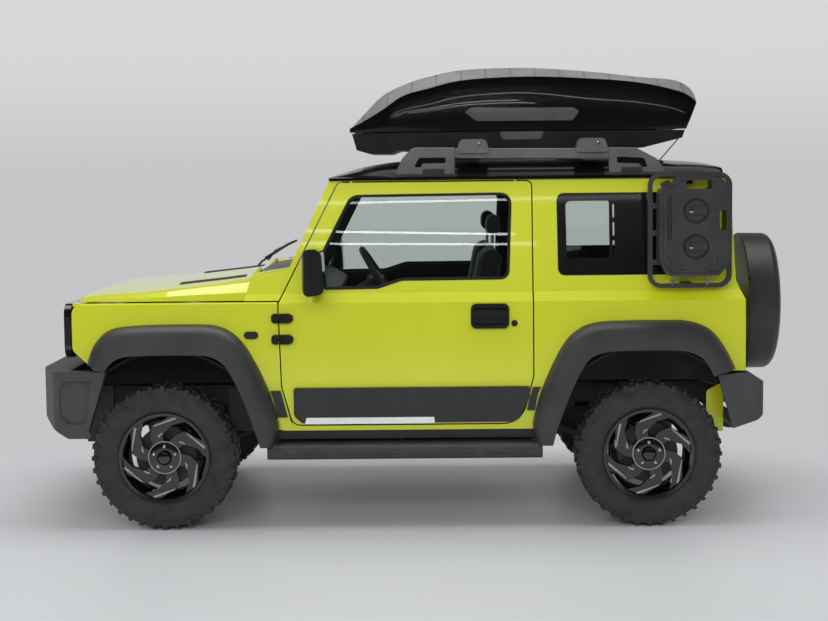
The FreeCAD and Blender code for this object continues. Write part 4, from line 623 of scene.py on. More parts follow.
flank = (
    (-0.086, bead_radius + 0.001), (-0.087, bead_radius + 0.014), (-0.093, bead_radius + 0.020),
    (-0.101, bead_radius + 0.034), (-0.105, bead_radius + 0.056), (-0.1055, bead_radius + 0.075),
    (-0.103, bead_radius + 0.094), (-0.099, tyre_radius - 0.026), (-0.092, tyre_radius - 0.013),
    (-0.080, tyre_radius - 0.0085), (-0.04, tyre_radius - 0.008), (0.0, tyre_radius - 0.008),
)
carcass = flank + tuple((-y, r) for y, r in reversed(flank[:-1]))
shoulder_lug = rounded(((-100, 298, 0), (-106, 304, 2), (-106, 322, 2), (-95, 337.0, 4), (-60, 337.0, 2),
                        (-58, 326), (-90, 326), (-97, 312)))
short_lug = rounded(((-99, 306, 0), (-104.5, 311, 2), (-103, 327, 2), (-92, 337.2, 4), (-66, 337.2, 2),
                     (-64, 326), (-90, 326)))
side_bite = rounded(((-104, 262), (-106, 264, 1), (-106, 292, 1), (-102, 296), (-100, 280)))


def mirrored_ring(outline, half_width, count, start, shift):
    """Ring of lugs of one section on the outer shoulder, with its twin on the inner one."""
    near = ring_of(slab(outline, -half_width, half_width, crosswise), count, tyre_rubber, start)
    far_outline = [(-u, v) for u, v in reversed(outline)]
    far = ring_of(slab(far_outline, -half_width, half_width, crosswise), count, tyre_rubber, start + shift)
    return [near, far]


lug_step = 2 * math.pi / shoulder_lugs
tread_step = 2 * math.pi / tread_pitch
tyre_parts = [lathe(carcass)]
tyre_parts += mirrored_ring(shoulder_lug, 0.0105, shoulder_lugs // 2, 0.0, lug_step)
tyre_parts += mirrored_ring(short_lug, 0.0085, shoulder_lugs // 2, lug_step, lug_step)
tyre_parts += mirrored_ring(side_bite, 0.004, shoulder_lugs // 2, lug_step / 2, lug_step)
for across, turned_by in ((-0.029, 0.0), (0.029, tread_step / 2)):
    lean = 0.35 if across < 0 else -0.35
    block = slab(rounded(((-21, -16, 3), (21, -12, 3), (21, 16, 3), (-21, 12, 3))), tyre_radius - 0.009,
                 tyre_radius - 0.001, lambda u, v, depth: (v + u * lean * 0.4, u + across, depth))
    tyre_parts.append(ring_of(block, tread_pitch, tyre_rubber, turned_by))
tyre_mesh = merged("tyre", tyre_parts)

barrel = (
    (-0.0950, 0.2105), (-0.0935, 0.2120), (-0.0880, 0.2120), (-0.0862, 0.2095), (-0.0862, 0.2012),
    (-0.055, 0.1985), (-0.035, 0.180), (0.035, 0.180), (0.053, 0.1985), (0.0862, 0.2012), (0.0862, 0.2095),
    (0.0880, 0.2120), (0.0935, 0.2120), (0.0950, 0.2105), (0.0950, 0.1930), (0.055, 0.190), (0.038, 0.1725),
    (-0.037, 0.1725), (-0.055, 0.190), (-0.0935, 0.1965),
)


def polar(radius, degrees):
    """Point on the wheel's face, clockwise from the top, in millimetres."""
    turn = math.radians(degrees)
    return radius * math.sin(turn), radius * math.cos(turn)


def on_face(rows, low, high):
    """Plate on the wheel's face from (radius, degrees, corner radius) rows."""
    return slab(rounded([(*polar(r, a), c) for r, a, c in rows]), low, high)


spoke = on_face(((60, -52, 4), (118, -34, 20), (156, -22, 12), (198, 8, 2), (198, 32, 2), (156, 14, 16),
                 (108, -4, 14), (60, 2, 4)), -0.076, -0.046)
bar_depths = (-0.0785, -0.070)
bar = on_face(((152, -19, 2), (158, -16, 2), (194, 14, 2), (194, 18, 2), (188, 17, 2), (154, -13, 3)),
              *bar_depths)
hook = on_face(((100, -18, 2), (112, -12, 4), (117, -3, 3), (112, -2, 2), (107, -9, 4), (99, -13, 2)),
               *bar_depths)
nut = lathe(((-0.083, 0.0), (-0.083, 0.0065), (-0.081, 0.0085), (-0.070, 0.0085), (-0.070, 0.0)), steps=6)
nut = moved(nut, Matrix.Translation((0, 0, 0.052)))
hub_disc = lathe(((-0.080, 0.034), (-0.080, 0.064), (-0.077, 0.072), (-0.045, 0.080), (-0.030, 0.080),
                  (-0.030, 0.034)))
brake_disc = lathe(((-0.030, 0.05), (-0.030, 0.140), (-0.022, 0.140), (-0.022, 0.05)))
hub_ring = lathe(((-0.0772, 0.0725), (-0.0772, 0.0765), (-0.060, 0.0775), (-0.060, 0.0725)))
cap_disc = lathe(((-0.097, 0.0), (-0.0965, 0.020), (-0.094, 0.027), (-0.080, 0.030), (-0.080, 0.0)), steps=40)
axle_end = lathe(((-0.024, 0.0), (-0.024, 0.055), (-0.004, 0.055), (-0.004, 0.0)), steps=40)
wheel_dark = merged("wheel_dark",
                    [lathe(barrel), ring_of(spoke, spoke_count, wheel_black), hub_disc, cap_disc, axle_end])
wheel_bright = merged("wheel_bright", [ring_of(bar, spoke_count, milled_bright),
                                       ring_of(hook, spoke_count, milled_bright), hub_ring])
wheel_steel = ring_of(nut, 5, bright_steel)
for name, axle_x, side in (("front_left", front_x, -1), ("front_right", front_x, 1),
                           ("rear_left", rear_x, -1), ("rear_right", rear_x, 1)):
    at = Matrix.Translation((axle_x, side * wheel_y, hub_z))
    if side > 0:
        at = at @ Matrix.Rotation(math.pi, 4, "Z")
    body = f"wheel_{name}"
    solid(f"lugged_tyre_{name}", moved(tyre_mesh, at), tyre_rubber, body, stands_for=(f"tyre_{name}",))
    solid(f"cast_wheel_{name}", moved(wheel_dark, at), wheel_black, body, bevel=0.0012,
          stands_for=(f"rim_{name}",))
    solid(f"milled_bars_{name}", moved(wheel_bright, at), milled_bright, body)
    solid(f"wheel_nuts_{name}", moved(wheel_steel, at), bright_steel, body)
    solid(f"brake_disc_{name}", moved(brake_disc, at), cast_metal, body)


# ---------------------------------------------------------------- cab, wings and doors
# Pressed steel panels in lime paint under clear coat. A second group tells
# the outer skin from the inner faces, which are lined in black felt. Each
# door has a rubber window seal, a lock and a silver foil along its trim.
# height, with the side's half width or the tail's place behind the rear axle
body_side = ((0.449, 0.7135), (0.680, 0.7375), (1.048, 0.7375), (1.092, 0.706), (1.612, 0.645))
body_tail = ((0.449, 0.454), (0.716, 0.454), (1.048, 0.452), (1.135, 0.413), (1.612, 0.392))
skin_depth = 0.0115
wing_top_z = 1.03    # the wings' and bonnet's upper faces are paint however deep they lie


def side_at(z):
    """Half width of the body's side at a height."""
    for (z0, y0), (z1, y1) in zip(body_side, body_side[1:]):
        if z <= z1:
            return y0 + (y1 - y0) * (z - z0) / (z1 - z0)
    return body_side[-1][1]


def curve_of(tree, value, points):
    """Straight-line table from (place, value) points, both between 0 and 1."""
    node = tree.nodes.new("ShaderNodeFloatCurve")
    curve = node.mapping.curves[0]
    while len(curve.points) < len(points) + 2:
        curve.points.new(0.5, 0.5)
    rows = [(0.0, points[0][1]), *points, (1.0, points[-1][1])]
    for point, row in zip(curve.points, rows):
        point.location = row
        point.handle_type = "VECTOR"
    node.mapping.update()
    tree.links.new(value, node.inputs["Value"])
    return node.outputs["Value"]


def build_lining_group():
    """Shader group: a mask of what lies deeper than the outer skin, seen from the body's outside."""
    settings = (("Skin", skin_depth), ("Rear Axle", rear_x), ("Scuttle", fore(470)))
    group, given, result = new_group("inner_lining", settings, ("Inside",))
    _, axes = object_axes(group)
    height = maths(group, "DIVIDE", axes["Z"], 2.0)
    side = curve_of(group, height, [(z / 2, y) for z, y in body_side])
    tail = curve_of(group, height, [(z / 2, x) for z, x in body_tail])
    side_depth = maths(group, "SUBTRACT", side, maths(group, "ABSOLUTE", axes["Y"]))
    tail_x = maths(group, "ADD", tail, given["Rear Axle"])
    tail_depth = maths(group, "SUBTRACT", tail_x, axes["X"])
    depth = maths(group, "MINIMUM", side_depth, tail_depth)
    inside = maths(group, "GREATER_THAN", depth, given["Skin"])
    ledge = maths(group, "MULTIPLY", maths(group, "GREATER_THAN", axes["Z"], wing_top_z),
                  maths(group, "LESS_THAN", axes["X"], given["Scuttle"]))
    on_ledge = maths(group, "MULTIPLY", ledge, inside)
    group.links.new(maths(group, "SUBTRACT", inside, on_ledge), result["Inside"])
    return group


def mix_tone(tree, share, first, second):
    """Mixes two colours by a mask."""
    node = tree.nodes.new("ShaderNodeMix")
    node.data_type = "RGBA"
    tree.links.new(share, node.inputs[0])
    for socket, value in ((node.inputs[6], first), (node.inputs[7], second)):
        if isinstance(value, tuple):
            socket.default_value = (*value, 1)
        else:
            tree.links.new(value, socket)
    return node.outputs[2]


def lined_paint(name, dark, light):
    """Clear-coated paint outside, black lining inside."""
    material, tree, shader = new_material(name)
    pattern = surface_pattern(tree, 350, 1.2)
    lining = tree.nodes.new("ShaderNodeGroup")
    lining.node_tree = build_lining_group()
    inside = lining.outputs["Inside"]
    paint_tone = ramp(tree, pattern["Blotch"], [(0.3, dark), (0.7, light)])
    felt_tone = ramp(tree, pattern["Height"], [(0.3, 0.010), (0.7, 0.018)])
    tree.links.new(mix_tone(tree, inside, paint_tone, felt_tone), shader.inputs["Base Color"])
    tree.links.new(maths(tree, "ADD", maths(tree, "MULTIPLY", inside, 0.4), 0.34), shader.inputs["Roughness"])
    tree.links.new(maths(tree, "SUBTRACT", 1.0, inside), shader.inputs["Coat Weight"])
    shader.inputs["Coat Roughness"].default_value = 0.03
    raise_surface(tree, shader, pattern["Height"], 0.02, 0.0002)
    return material


lime_dark = (0.485, 0.525, 0.005)
lime_light = (0.525, 0.565, 0.007)
lime_paint = lined_paint("lime_paint", lime_dark, lime_light)
plain_lime = finish("plain_lime", lime_dark, lime_light, 0.34, grain=350, blotch=1.2,
                    bump=0.02, depth=0.0002, coat=1.0, coat_roughness=0.03, rough_spread=0.04)
dress(lime_paint, "side_frame_left", "side_frame_right", "rear_frame", "front_wings", "tailgate_shell",
      "door_left_shell", "door_right_shell")

trim_dark = (0.018, 0.018, 0.019)
trim_light = (0.026, 0.026, 0.027)
trim_plastic = finish("trim_plastic", trim_dark, trim_light, 0.48, grain=1600, blotch=8,
                      bump=0.2, depth=0.0003)
gloss_plastic = finish("gloss_plastic", (0.0035, 0.0035, 0.004), (0.006, 0.006, 0.0065), 0.16, grain=300,
                       blotch=4, bump=0.02, depth=0.0002, coat=0.6, coat_roughness=0.04, rough_spread=0.05)
flare_plastic = finish("flare_plastic", (0.028, 0.028, 0.030), (0.040, 0.040, 0.042), 0.46, grain=1400,
                       blotch=5, bump=0.25, depth=0.0004)
silver_foil = finish("silver_foil", (0.62, 0.63, 0.64), (0.70, 0.71, 0.72), 0.36, grain=400, blotch=20,
                     bump=0.05)
dress(trim_plastic, "dashboard", "steering_wheel")


def repaint_part(material, tone, mask_of):
    """Gives part of a finish another tone; mask_of makes the mask from the tree and its object axes."""
    tree = material.node_tree
    base = tree.nodes["Principled BSDF"].inputs["Base Color"]
    _, axes = object_axes(tree)
    tree.links.new(mix_tone(tree, mask_of(tree, axes), base.links[0].from_socket, tone), base)


# the trims' handles and hinge covers above this height are near black, the cladding below it is grey
handle_foot_z = 0.72
cladding_plastic = finish("cladding_plastic", trim_dark, trim_light, 0.46, grain=1600, blotch=8,
                          bump=0.2, depth=0.0003)
repaint_part(cladding_plastic, (0.004, 0.004, 0.0042),
             lambda tree, axes: maths(tree, "GREATER_THAN", axes["Z"], handle_foot_z))
dress(cladding_plastic, "lower_cladding", "door_left_trim", "door_right_trim")
dress(gloss_plastic, "door_left_mirror", "door_right_mirror")


def on_side(side):
    """Lays an outline on the body's side, depth inwards from its skin."""
    def lay(u, v, depth):
        return u, side * (side_at(v) - depth), v
    return lay


def face_of(node, x, z, side=-1):
    """y of a solid's outermost face at a place on one side."""
    hit, where, _, _ = nodes[node].ray_cast(Vector((x, side * 2, z)), Vector((0, -side, 0)))
    return where.y if hit else side * side_at(z)


def swollen(points, distance):
    """An outline moved outwards, or inwards by a negative distance."""
    centre = sum(points, Vector((0, 0))) / len(points)
    result = []
    for i, point in enumerate(points):
        along = (points[(i + 1) % len(points)] - points[i - 1]).normalized()
        outward = Vector((along.y, -along.x))
        if outward.dot(point - centre) < 0:
            outward = -outward
        result.append(point + outward * distance)
    return result


def fore_rows(rows):
    """Corners given behind the front axle, as places along the car."""
    return [(row[0] + front_x * 1000, *row[1:]) for row in rows]


def aft_rows(rows):
    """Corners given behind the rear axle, as places along the car."""
    return [(row[0] + rear_x * 1000, *row[1:]) for row in rows]


def fore_shape(*rows):
    """Rounded outline from corners behind the front axle."""
    return rounded(fore_rows(rows))


def aft_shape(*rows):
    """Rounded outline from corners behind the rear axle."""
    return rounded(aft_rows(rows))


def disc(x, z, radius, corners):
    """Round outline of a lock or key, in millimetres."""
    turns = [2 * math.pi * k / corners for k in range(corners)]
    return rounded([(x + radius * math.cos(turn), z + radius * math.sin(turn)) for turn in turns])


door_window = rounded(fore_rows(((650, 1108, 25), (876, 1545, 60)))
                      + aft_rows(((-625, 1550, 50), (-640, 1150, 40)))
                      + fore_rows(((1110, 1148, 30), (1000, 1112, 30))))
lock_x = fore(1632)
lock_z = 0.947
seal_rubber = finish("seal_rubber", (0.010, 0.010, 0.010), (0.016, 0.016, 0.016), 0.6, grain=900, blotch=14,
                     bump=0.1)
for side_name, side in (("left", -1), ("right", 1)):
    seal = slab(swollen(door_window, 0.002), -0.0012, 0.020, on_side(side),
                holes=(swollen(door_window, -0.011),))
    solid(f"door_window_seal_{side_name}", seal, seal_rubber, f"door_{side_name}", sharp=50)
    lock_y = face_of(f"door_{side_name}_shell", lock_x, lock_z, side)
    lock = slab(disc(lock_x * 1000, lock_z * 1000, 15, 24), lock_y, lock_y + side * 0.004)
    solid(f"door_lock_{side_name}", lock, gloss_plastic, f"door_{side_name}")
    foil_y = face_of(f"door_{side_name}_trim", fore(900), 0.50, side)
    foil = slab(fore_shape((652, 482, 4), (662, 516, 6), (1255, 516, 6), (1259, 482, 4)),
                foil_y - side * 0.001, foil_y + side * 0.0012)
    solid(f"door_foil_{side_name}", foil, silver_foil, f"door_{side_name}")


# ---------------------------------------------------------------- glass
# Lightly green toughened glass. The quarter panes carry a fired black border;
# the left one is black but for a small pane and slots, where the can hangs.
def clear_glass(name, tint):
    """Glass that bends light hardly at all and lets daylight through as shadow rays."""
    material, tree, shader = new_material(name)
    deeper = tuple(channel * 0.97 for channel in tint)
    tone = ramp(tree, surface_pattern(tree, blotch=3.0)["Blotch"], [(0.3, deeper), (0.7, tint)])
    tree.links.new(tone, shader.inputs["Base Color"])
    shader.inputs["Roughness"].default_value = 0.0
    shader.inputs["Transmission Weight"].default_value = 1.0
    shader.inputs["IOR"].default_value = 1.45
    through = tree.nodes.new("ShaderNodeBsdfTransparent")
    tree.links.new(tone, through.inputs["Color"])
    paths = tree.nodes.new("ShaderNodeLightPath")
    passed = mix_shaders(tree, paths.outputs["Is Shadow Ray"], shader.outputs[0], through.outputs[0])
    tree.links.new(passed, tree.nodes["Material Output"].inputs["Surface"])
    return material


window_glass = clear_glass("window_glass", (0.84, 0.895, 0.866))
dress(window_glass, "fixed_glass", "door_left_glass", "door_right_glass", "tailgate_glass")
quarter = aft_shape((-417, 1546, 34), (-412, 1163, 34), (255, 1163, 34), (245, 1546, 34))
small_pane = aft_shape((-374, 1508, 22), (-370, 1240, 22), (-172, 1240, 10), (-172, 1508, 10))
long_pane = aft_shape((-374, 1508, 22), (-370, 1240, 22), (212, 1240, 22), (208, 1508, 22))
sash_slots = [aft_shape((-156, z + 62, 3), (-156, z, 3), (-148, z, 3), (-148, z + 62, 3))
              for z in (1262, 1346, 1430)]
for side_name, side, openings in (("left", -1, (small_pane, *sash_slots)), ("right", 1, (long_pane,))):
    border = slab(swollen(quarter, -0.001), 0.0042, 0.0055, on_side(side), holes=openings)
    solid(f"quarter_border_{side_name}", border, gloss_plastic, "body", sharp=50)


# ---------------------------------------------------------------- bonnet, scuttle and wipers
# A pressed lime skin on two pairs of hinge leaves, with black non-slip strips
# at its rear corners and a rubber seal along the shut line behind it. The cowl
# is black in its middle, where two arms lift their blades to the windscreen.
def top_of(piece, x, y):
    """z of a piece's highest face at a place."""
    hit, where, _, _ = piece.ray_cast(Vector((x, y, 3)), Vector((0, 0, -1)))
    return where.z if hit else 1.0


def draped_strip(piece, x0, x1, y0, y1, thickness, steps=10):
    """Thin strip that follows a piece's upper face."""
    rings = []
    for i in range(steps + 1):
        x = x0 + (x1 - x0) * i / steps
        lower = [(x, y, top_of(piece, x, y) - 0.001) for y in (y0, y1)]
        upper = [(x, y, top_of(piece, x, y) + thickness) for y in (y1, y0)]
        rings.append(lower + upper)
    return loft("strip", rings)


def eased(rows, share):
    """Values of a table at a share of its length, on a smooth curve through its rows."""
    spot = share * (len(rows) - 1)
    i = min(int(spot), len(rows) - 2)
    t = spot - i
    p0, p1, p2, p3 = rows[max(i - 1, 0)], rows[i], rows[i + 1], rows[min(i + 2, len(rows) - 1)]
    result = []
    for a, b, c, d in zip(p0, p1, p2, p3):
        result.append(0.5 * (2 * b + (c - a) * t + (2 * a - 5 * b + 4 * c - d) * t * t
                             + (3 * b - a - 3 * c + d) * t ** 3))
    return result


# x, how far in and how high: foot, crease and shoulder, and the height in the middle
bonnet_rows = (
    (-403, 62, 1061, 72, 1063, 146, 1066, 1068), (-398, 34, 1061, 44, 1070, 144, 1079, 1083),
    (-372, 12, 1061, 32, 1078, 143, 1090, 1095), (-310, 3, 1061, 34, 1083, 143, 1095, 1101),
    (-100, 0, 1061, 44, 1097, 143, 1107, 1115), (100, 0, 1061, 48, 1119, 143, 1128, 1138),
    (260, 0, 1061, 50, 1134, 143, 1145, 1155), (406, 0, 1061, 52, 1148, 143, 1163, 1172),
)
bonnet_half = 0.7075
bonnet_wall = 0.012
hinge_y = 0.42
strip_inner_y = 0.40
grid_half = 0.46     # the black grid in the cowl and the strips on the bonnet end at this y
shut_x = fore(409.5)


def build_bonnet(steps=56):
    """Bonnet skin over its sections, from the shut line on one side to the other."""
    rings = []
    for i in range(steps + 1):
        x, foot_in, foot, crease_in, crease, shoulder_in, shoulder, middle = eased(bonnet_rows, i / steps)
        half = [(foot_in, foot), (foot_in + 2, foot + (crease - foot) * 0.45), (crease_in - 12, crease - 7),
                (crease_in, crease), (crease_in + 16, crease + (shoulder - crease) * 0.22),
                (shoulder_in - 24, shoulder - 3), (shoulder_in, shoulder), (shoulder_in + 24, shoulder + 1),
                (300, shoulder + (middle - shoulder) * 0.4), (500, shoulder + (middle - shoulder) * 0.85)]
        flank = [(bonnet_half - inwards / 1000, height / 1000) for inwards, height in half]
        ring = [(-y, z) for y, z in flank] + [(0, middle / 1000)] + [(y, z) for y, z in reversed(flank)]
        rings.append([(fore(x), y, z) for y, z in ring])
    return loft("bonnet_skin", rings, looped=False, capped=False, wall=bonnet_wall)


leaf = fore_shape((378, 1146), (378, 1158), (422, 1198, 4), (431, 1192, 4), (404, 1152))
leaves = [slab(leaf, middle + shift - 0.005, middle + shift + 0.005)
          for middle in (-hinge_y, hinge_y) for shift in (-0.011, 0.011)]
bonnet_skin = solid("bonnet_skin", build_bonnet(), lime_paint, "bonnet", sharp=40, stands_for=("bonnet",))
bpy.context.view_layer.update()
solid("bonnet_hinges", leaves, lime_paint, "bonnet")
cowl_finish = finish("cowl_finish", lime_dark, lime_light, 0.36, grain=350, blotch=1.2, bump=0.03)
repaint_part(cowl_finish, (0.02, 0.02, 0.021), lambda tree, axes: maths(
    tree, "LESS_THAN", maths(tree, "ABSOLUTE", axes["Y"]), grid_half))
dress(cowl_finish, "scuttle")
strips = [draped_strip(bonnet_skin, fore(39), fore(357), side * grid_half, side * strip_inner_y, 0.005)
          for side in (-1, 1)]
solid("bonnet_strips", strips, trim_plastic, "bonnet", bevel=0.0015)
seal_run = ((0.706, 1.064), (0.682, 1.106), (0.655, 1.148), (0.61, 1.158), (0.565, 1.163))
shut_seals = [tube([(shut_x, side * y, z) for y, z in seal_run], 0.0028, sides=8) for side in (-1, 1)]
solid("bonnet_shut_seals", shut_seals, seal_rubber, "body")
arm_runs = (((405, -0.36, 1.200), (424, -0.345, 1.224), (520, -0.17, 1.288)),
            ((405, 0.16, 1.204), (424, 0.175, 1.230), (516, 0.36, 1.288)))
blade_runs = (((452, -0.42, 1.246), (492, -0.17, 1.272), (524, 0.06, 1.292)),
              ((446, 0.10, 1.252), (487, 0.34, 1.272), (520, 0.55, 1.286)))
arms = [tube([(fore(x), y, z) for x, y, z in run], 0.0055) for run in arm_runs]
blades = [tube([(fore(x), y, z) for x, y, z in run], 0.0062, sides=8) for run in blade_runs]
solid("wiper_arms", arms, trim_plastic, "body")
solid("wiper_blades", blades, seal_rubber, "body")


# ---------------------------------------------------------------- grille, headlamps and signal lamps
# A moulded black face with upright slots. Each round headlamp is a bright
# bowl with a projector under a clear cover; the small round lamps are amber.
def facing_front(mesh, y, z, x):
    """Turns a lathe form to face forwards and puts it in its place."""
    return moved(mesh, Matrix.Translation((x, y, z)) @ Matrix.Rotation(-math.pi / 2, 4, "Z"))


lamp_glass = clear_glass("lamp_glass", (0.93, 0.95, 0.96))
dress(gloss_plastic, "grille")
lamp_face = fore(-466)
lamp_y = 0.5
lamp_z = 0.925
cover_profile = ((0.001, 0.0), (0.003, 0.045), (0.009, 0.078), (0.018, 0.0905), (0.022, 0.0905),
                 (0.013, 0.076), (0.007, 0.044), (0.005, 0.0))
bowl_profile = ((0.020, 0.0905), (0.024, 0.0905), (0.050, 0.070), (0.062, 0.034), (0.062, 0.0), (0.058, 0.0),
                (0.056, 0.032), (0.044, 0.064))
lens_profile = ((0.026, 0.0), (0.029, 0.018), (0.036, 0.027), (0.055, 0.030), (0.055, 0.0))
for name, profile, material in (("headlamp_covers", cover_profile, lamp_glass),
                                ("headlamp_bowls", bowl_profile, milled_bright),
                                ("headlamp_lenses", lens_profile, lamp_glass)):
    lamp = facing_front(lathe(profile, steps=48), lamp_y, lamp_z, lamp_face)
    stands_for = ("headlamps",) if name == "headlamp_covers" else ()
    solid(name, both_sides(lamp), material, "body", stands_for=stands_for)


def zoned_lens(name):
    """Coloured lens plastic: amber in front, smoked at the sides, red behind."""
    material, tree, shader = new_material(name)
    _, axes = object_axes(tree)
    pattern = surface_pattern(tree, 260, 40)
    share = pattern["Blotch"]
    amber = ramp(tree, share, [(0.3, (0.45, 0.13, 0.01)), (0.7, (0.58, 0.19, 0.015))])
    smoked = ramp(tree, share, [(0.3, 0.008), (0.7, 0.014)])
    red = ramp(tree, share, [(0.3, (0.26, 0.006, 0.005)), (0.7, (0.36, 0.012, 0.008))])
    behind_nose = maths(tree, "GREATER_THAN", axes["X"], fore(-380))
    at_tail = maths(tree, "GREATER_THAN", axes["X"], rear_x)
    tone = mix_tone(tree, at_tail, mix_tone(tree, behind_nose, amber, smoked), red)
    tree.links.new(tone, shader.inputs["Base Color"])
    tree.links.new(maths(tree, "ADD", maths(tree, "MULTIPLY", share, 0.1), 0.08), shader.inputs["Roughness"])
    shader.inputs["Coat Weight"].default_value = 0.8
    raise_surface(tree, shader, pattern["Height"], 0.25, 0.0006)
    return material


dress(zoned_lens("signal_lens"), "signal_lamps")


# ---------------------------------------------------------------- arch flares
# Moulded flares in grained plastic. Each rises round from the body, turns
# over a soft crease and ends in a flat lip, and is clipped to the arch edge.
front_outer = fore_rows(((-353, 785), (-322, 862), (-262, 925), (-185, 947), (-50, 955), (110, 956),
                         (245, 949), (335, 905), (405, 815), (480, 660), (523, 520), (531, 461), (512, 385)))
front_inner = fore_rows(((-268, 738), (-250, 766), (-218, 796), (-166, 814), (-50, 819), (110, 819),
                         (215, 813), (283, 778), (330, 705), (378, 600), (412, 505), (428, 455), (450, 385)))
rear_outer = aft_rows(((-520, 385), (-534, 461), (-524, 530), (-480, 670), (-400, 835), (-330, 912),
                       (-240, 948), (-90, 956), (60, 956), (180, 952), (280, 915), (345, 842), (403, 734)))
rear_inner = aft_rows(((-446, 385), (-428, 455), (-410, 505), (-375, 600), (-325, 710), (-275, 785),
                       (-205, 815), (-90, 822), (60, 822), (160, 818), (232, 790), (272, 745), (293, 700)))
# share of the way from outer to inner edge, share of the way out from the body
flare_form = (
    (0.0, 0.0), (0.0, 0.10), (0.03, 0.36), (0.10, 0.62), (0.20, 0.81), (0.32, 0.93), (0.44, 0.985),
    (0.50, 1.0), (0.56, 1.0), (0.97, 0.985), (1.0, 0.96), (1.0, 0.80), (0.94, 0.80), (0.55, 0.91),
    (0.36, 0.85), (0.22, 0.70), (0.14, 0.48), (0.10, 0.20), (0.10, 0.0),
)
flare_reach = max(vert.co.y for vert in nodes["arch_flares"].data.vertices)
flare_foot = 0.7395


def build_flare(outer, inner, side, steps=72):
    """One flare swept between its outer and inner edge."""
    rings = []
    for i in range(steps + 1):
        u0, v0 = eased([row[:2] for row in outer], i / steps)
        u1, v1 = eased([row[:2] for row in inner], i / steps)
        ring = []
        for across, out in flare_form:
            u = (u0 + (u1 - u0) * across) / 1000
            v = (v0 + (v1 - v0) * across) / 1000
            ring.append((u, side * (flare_foot + (flare_reach - flare_foot) * out), v))
        rings.append(ring)
    return loft("flare", rings)


flares = [build_flare(outer, inner, side) for side in (-1, 1)
          for outer, inner in ((front_outer, front_inner), (rear_outer, rear_inner))]
solid("arch_flare_skins", flares, flare_plastic, "body", sharp=32,
      stands_for=("arch_flares",))


# ---------------------------------------------------------------- bumpers, side steps and shields
# Heavy moulded bumpers in coarse grey plastic, and tube steps in textured
# black with long drain slots, ribbed treads and a plate at each end. Black
# shields close the front arches inwards, and lime panels the tail's corners.
bumper_plastic = finish("bumper_plastic", (0.040, 0.040, 0.043), (0.054, 0.054, 0.057), 0.5, grain=1500,
                        blotch=7, bump=0.3, depth=0.0005)
step_black = finish("step_black", (0.030, 0.030, 0.031), (0.041, 0.041, 0.042), 0.5, grain=1700, blotch=9,
                    bump=0.3)
dress(bumper_plastic, "front_bumper", "rear_bumper")
dress(step_black, "side_steps")
step_y = 0.7695
step_z = 0.358
step_radius = 0.0362


def on_step(side):
    """Wraps an outline round the step's tube; v is the way round it, down from its outer edge."""
    def lay(u, v, depth):
        turn = v / step_radius
        reach = step_radius + depth
        return u, side * (step_y + reach * math.cos(turn)), step_z - reach * math.sin(turn)
    return lay


drains = []
for side in (-1, 1):
    for x0, x1 in ((-605, -392), (-358, -58), (-24, 286), (322, 538)):
        low_edge = [Vector((x0 / 1000 + (x1 - x0) / 1000 * k / 8, 0.004)) for k in range(9)]
        middle = [Vector((x1 / 1000, 0.009)), Vector((x1 / 1000 - 0.006, 0.015))]
        high_edge = [Vector((x1 / 1000 - 0.006 - (x1 - x0 - 12) / 1000 * k / 8, 0.015)) for k in range(1, 9)]
        drains.append(slab(low_edge + middle + high_edge, -0.001, 0.0005, on_step(side)))
solid("step_drains", drains, gloss_plastic, "body")
plate_spans = ((fore(478), fore(560)), (aft(-575), aft(-492)))
plates = [rounded([(x0 * 1000, 372, 4), (x0 * 1000, 446, 4), (x1 * 1000, 446, 4), (x1 * 1000, 372, 4)])
          for x0, x1 in plate_spans]
shield = fore_shape((258, 400, 10), (258, 612, 10), (484, 612, 10), (484, 400, 10))
flap = fore_shape((-440, 352, 6), (-440, 500, 6), (-332, 500, 6), (-332, 352, 6))
panel = aft_shape((303, 404, 8), (303, 600, 20), (384, 640, 10), (384, 404, 8))


def sheet(outline, side, half_width, thickness=0.004):
    """Upright sheet along the car, from a half width outwards."""
    return slab(outline, side * half_width, side * (half_width + thickness))


ends = []
shields = []
lime_panels = []
for side in (-1, 1):
    ends += [sheet(plate, side, 0.655, thickness=0.006) for plate in plates]
    shields += [sheet(shield, side, 0.404), sheet(flap, side, 0.388)]
    lime_panels.append(sheet(panel, side, 0.552))
solid("step_end_plates", ends, step_black, "body")
solid("splash_shields", shields, step_black, "body")
solid("tail_panels", lime_panels, plain_lime, "body")
ridge_pitch = 0.0265
ridge_z = 0.3925
ridge_places = [0.138 + ridge_pitch * i for i in range(12)]
treads = [tube([(x, side * 0.66, ridge_z), (x, side * 0.735, ridge_z)], 0.003, sides=6)
          for side in (-1, 1) for x in ridge_places]
solid("step_ridges", treads, step_black, "body")


# ---------------------------------------------------------------- roof, rails and aerial
# Black-painted roof, bowed at the windscreen and the tailgate. Satin rails
# stand on two feet a side, with two bars clamped across them; a short rod
# aerial leans back near the tail.
gloss_black = finish("gloss_black_paint", (0.0016, 0.0016, 0.0018), (0.0026, 0.0026, 0.0029), 0.16, grain=350,
                     blotch=2, bump=0.02, depth=0.0002, coat=1.0, coat_roughness=0.02, rough_spread=0.04)
roof_black = finish("roof_black_paint", (0.0022, 0.0023, 0.0026), (0.0034, 0.0035, 0.0038), 0.2, grain=350,
                    blotch=2, bump=0.02, depth=0.0002, rough_spread=0.04)
roof_black.node_tree.nodes["Principled BSDF"].inputs["Specular IOR Level"].default_value = 0.12
rail_black = finish("rail_black", (0.075, 0.075, 0.079), (0.098, 0.098, 0.102), 0.36, grain=1200, blotch=9,
                    bump=0.1, depth=0.0003)
dress(rail_black, "cross_bars")
gutter_z = 1.612
gutter_half = 662
bow_end = 1000       # the roof's front edge bows forwards ahead of this place
tail_start = 2300    # and its rear edge backwards behind this one
front_bow = 32
tail_bow = 38
tail_sweep = 36
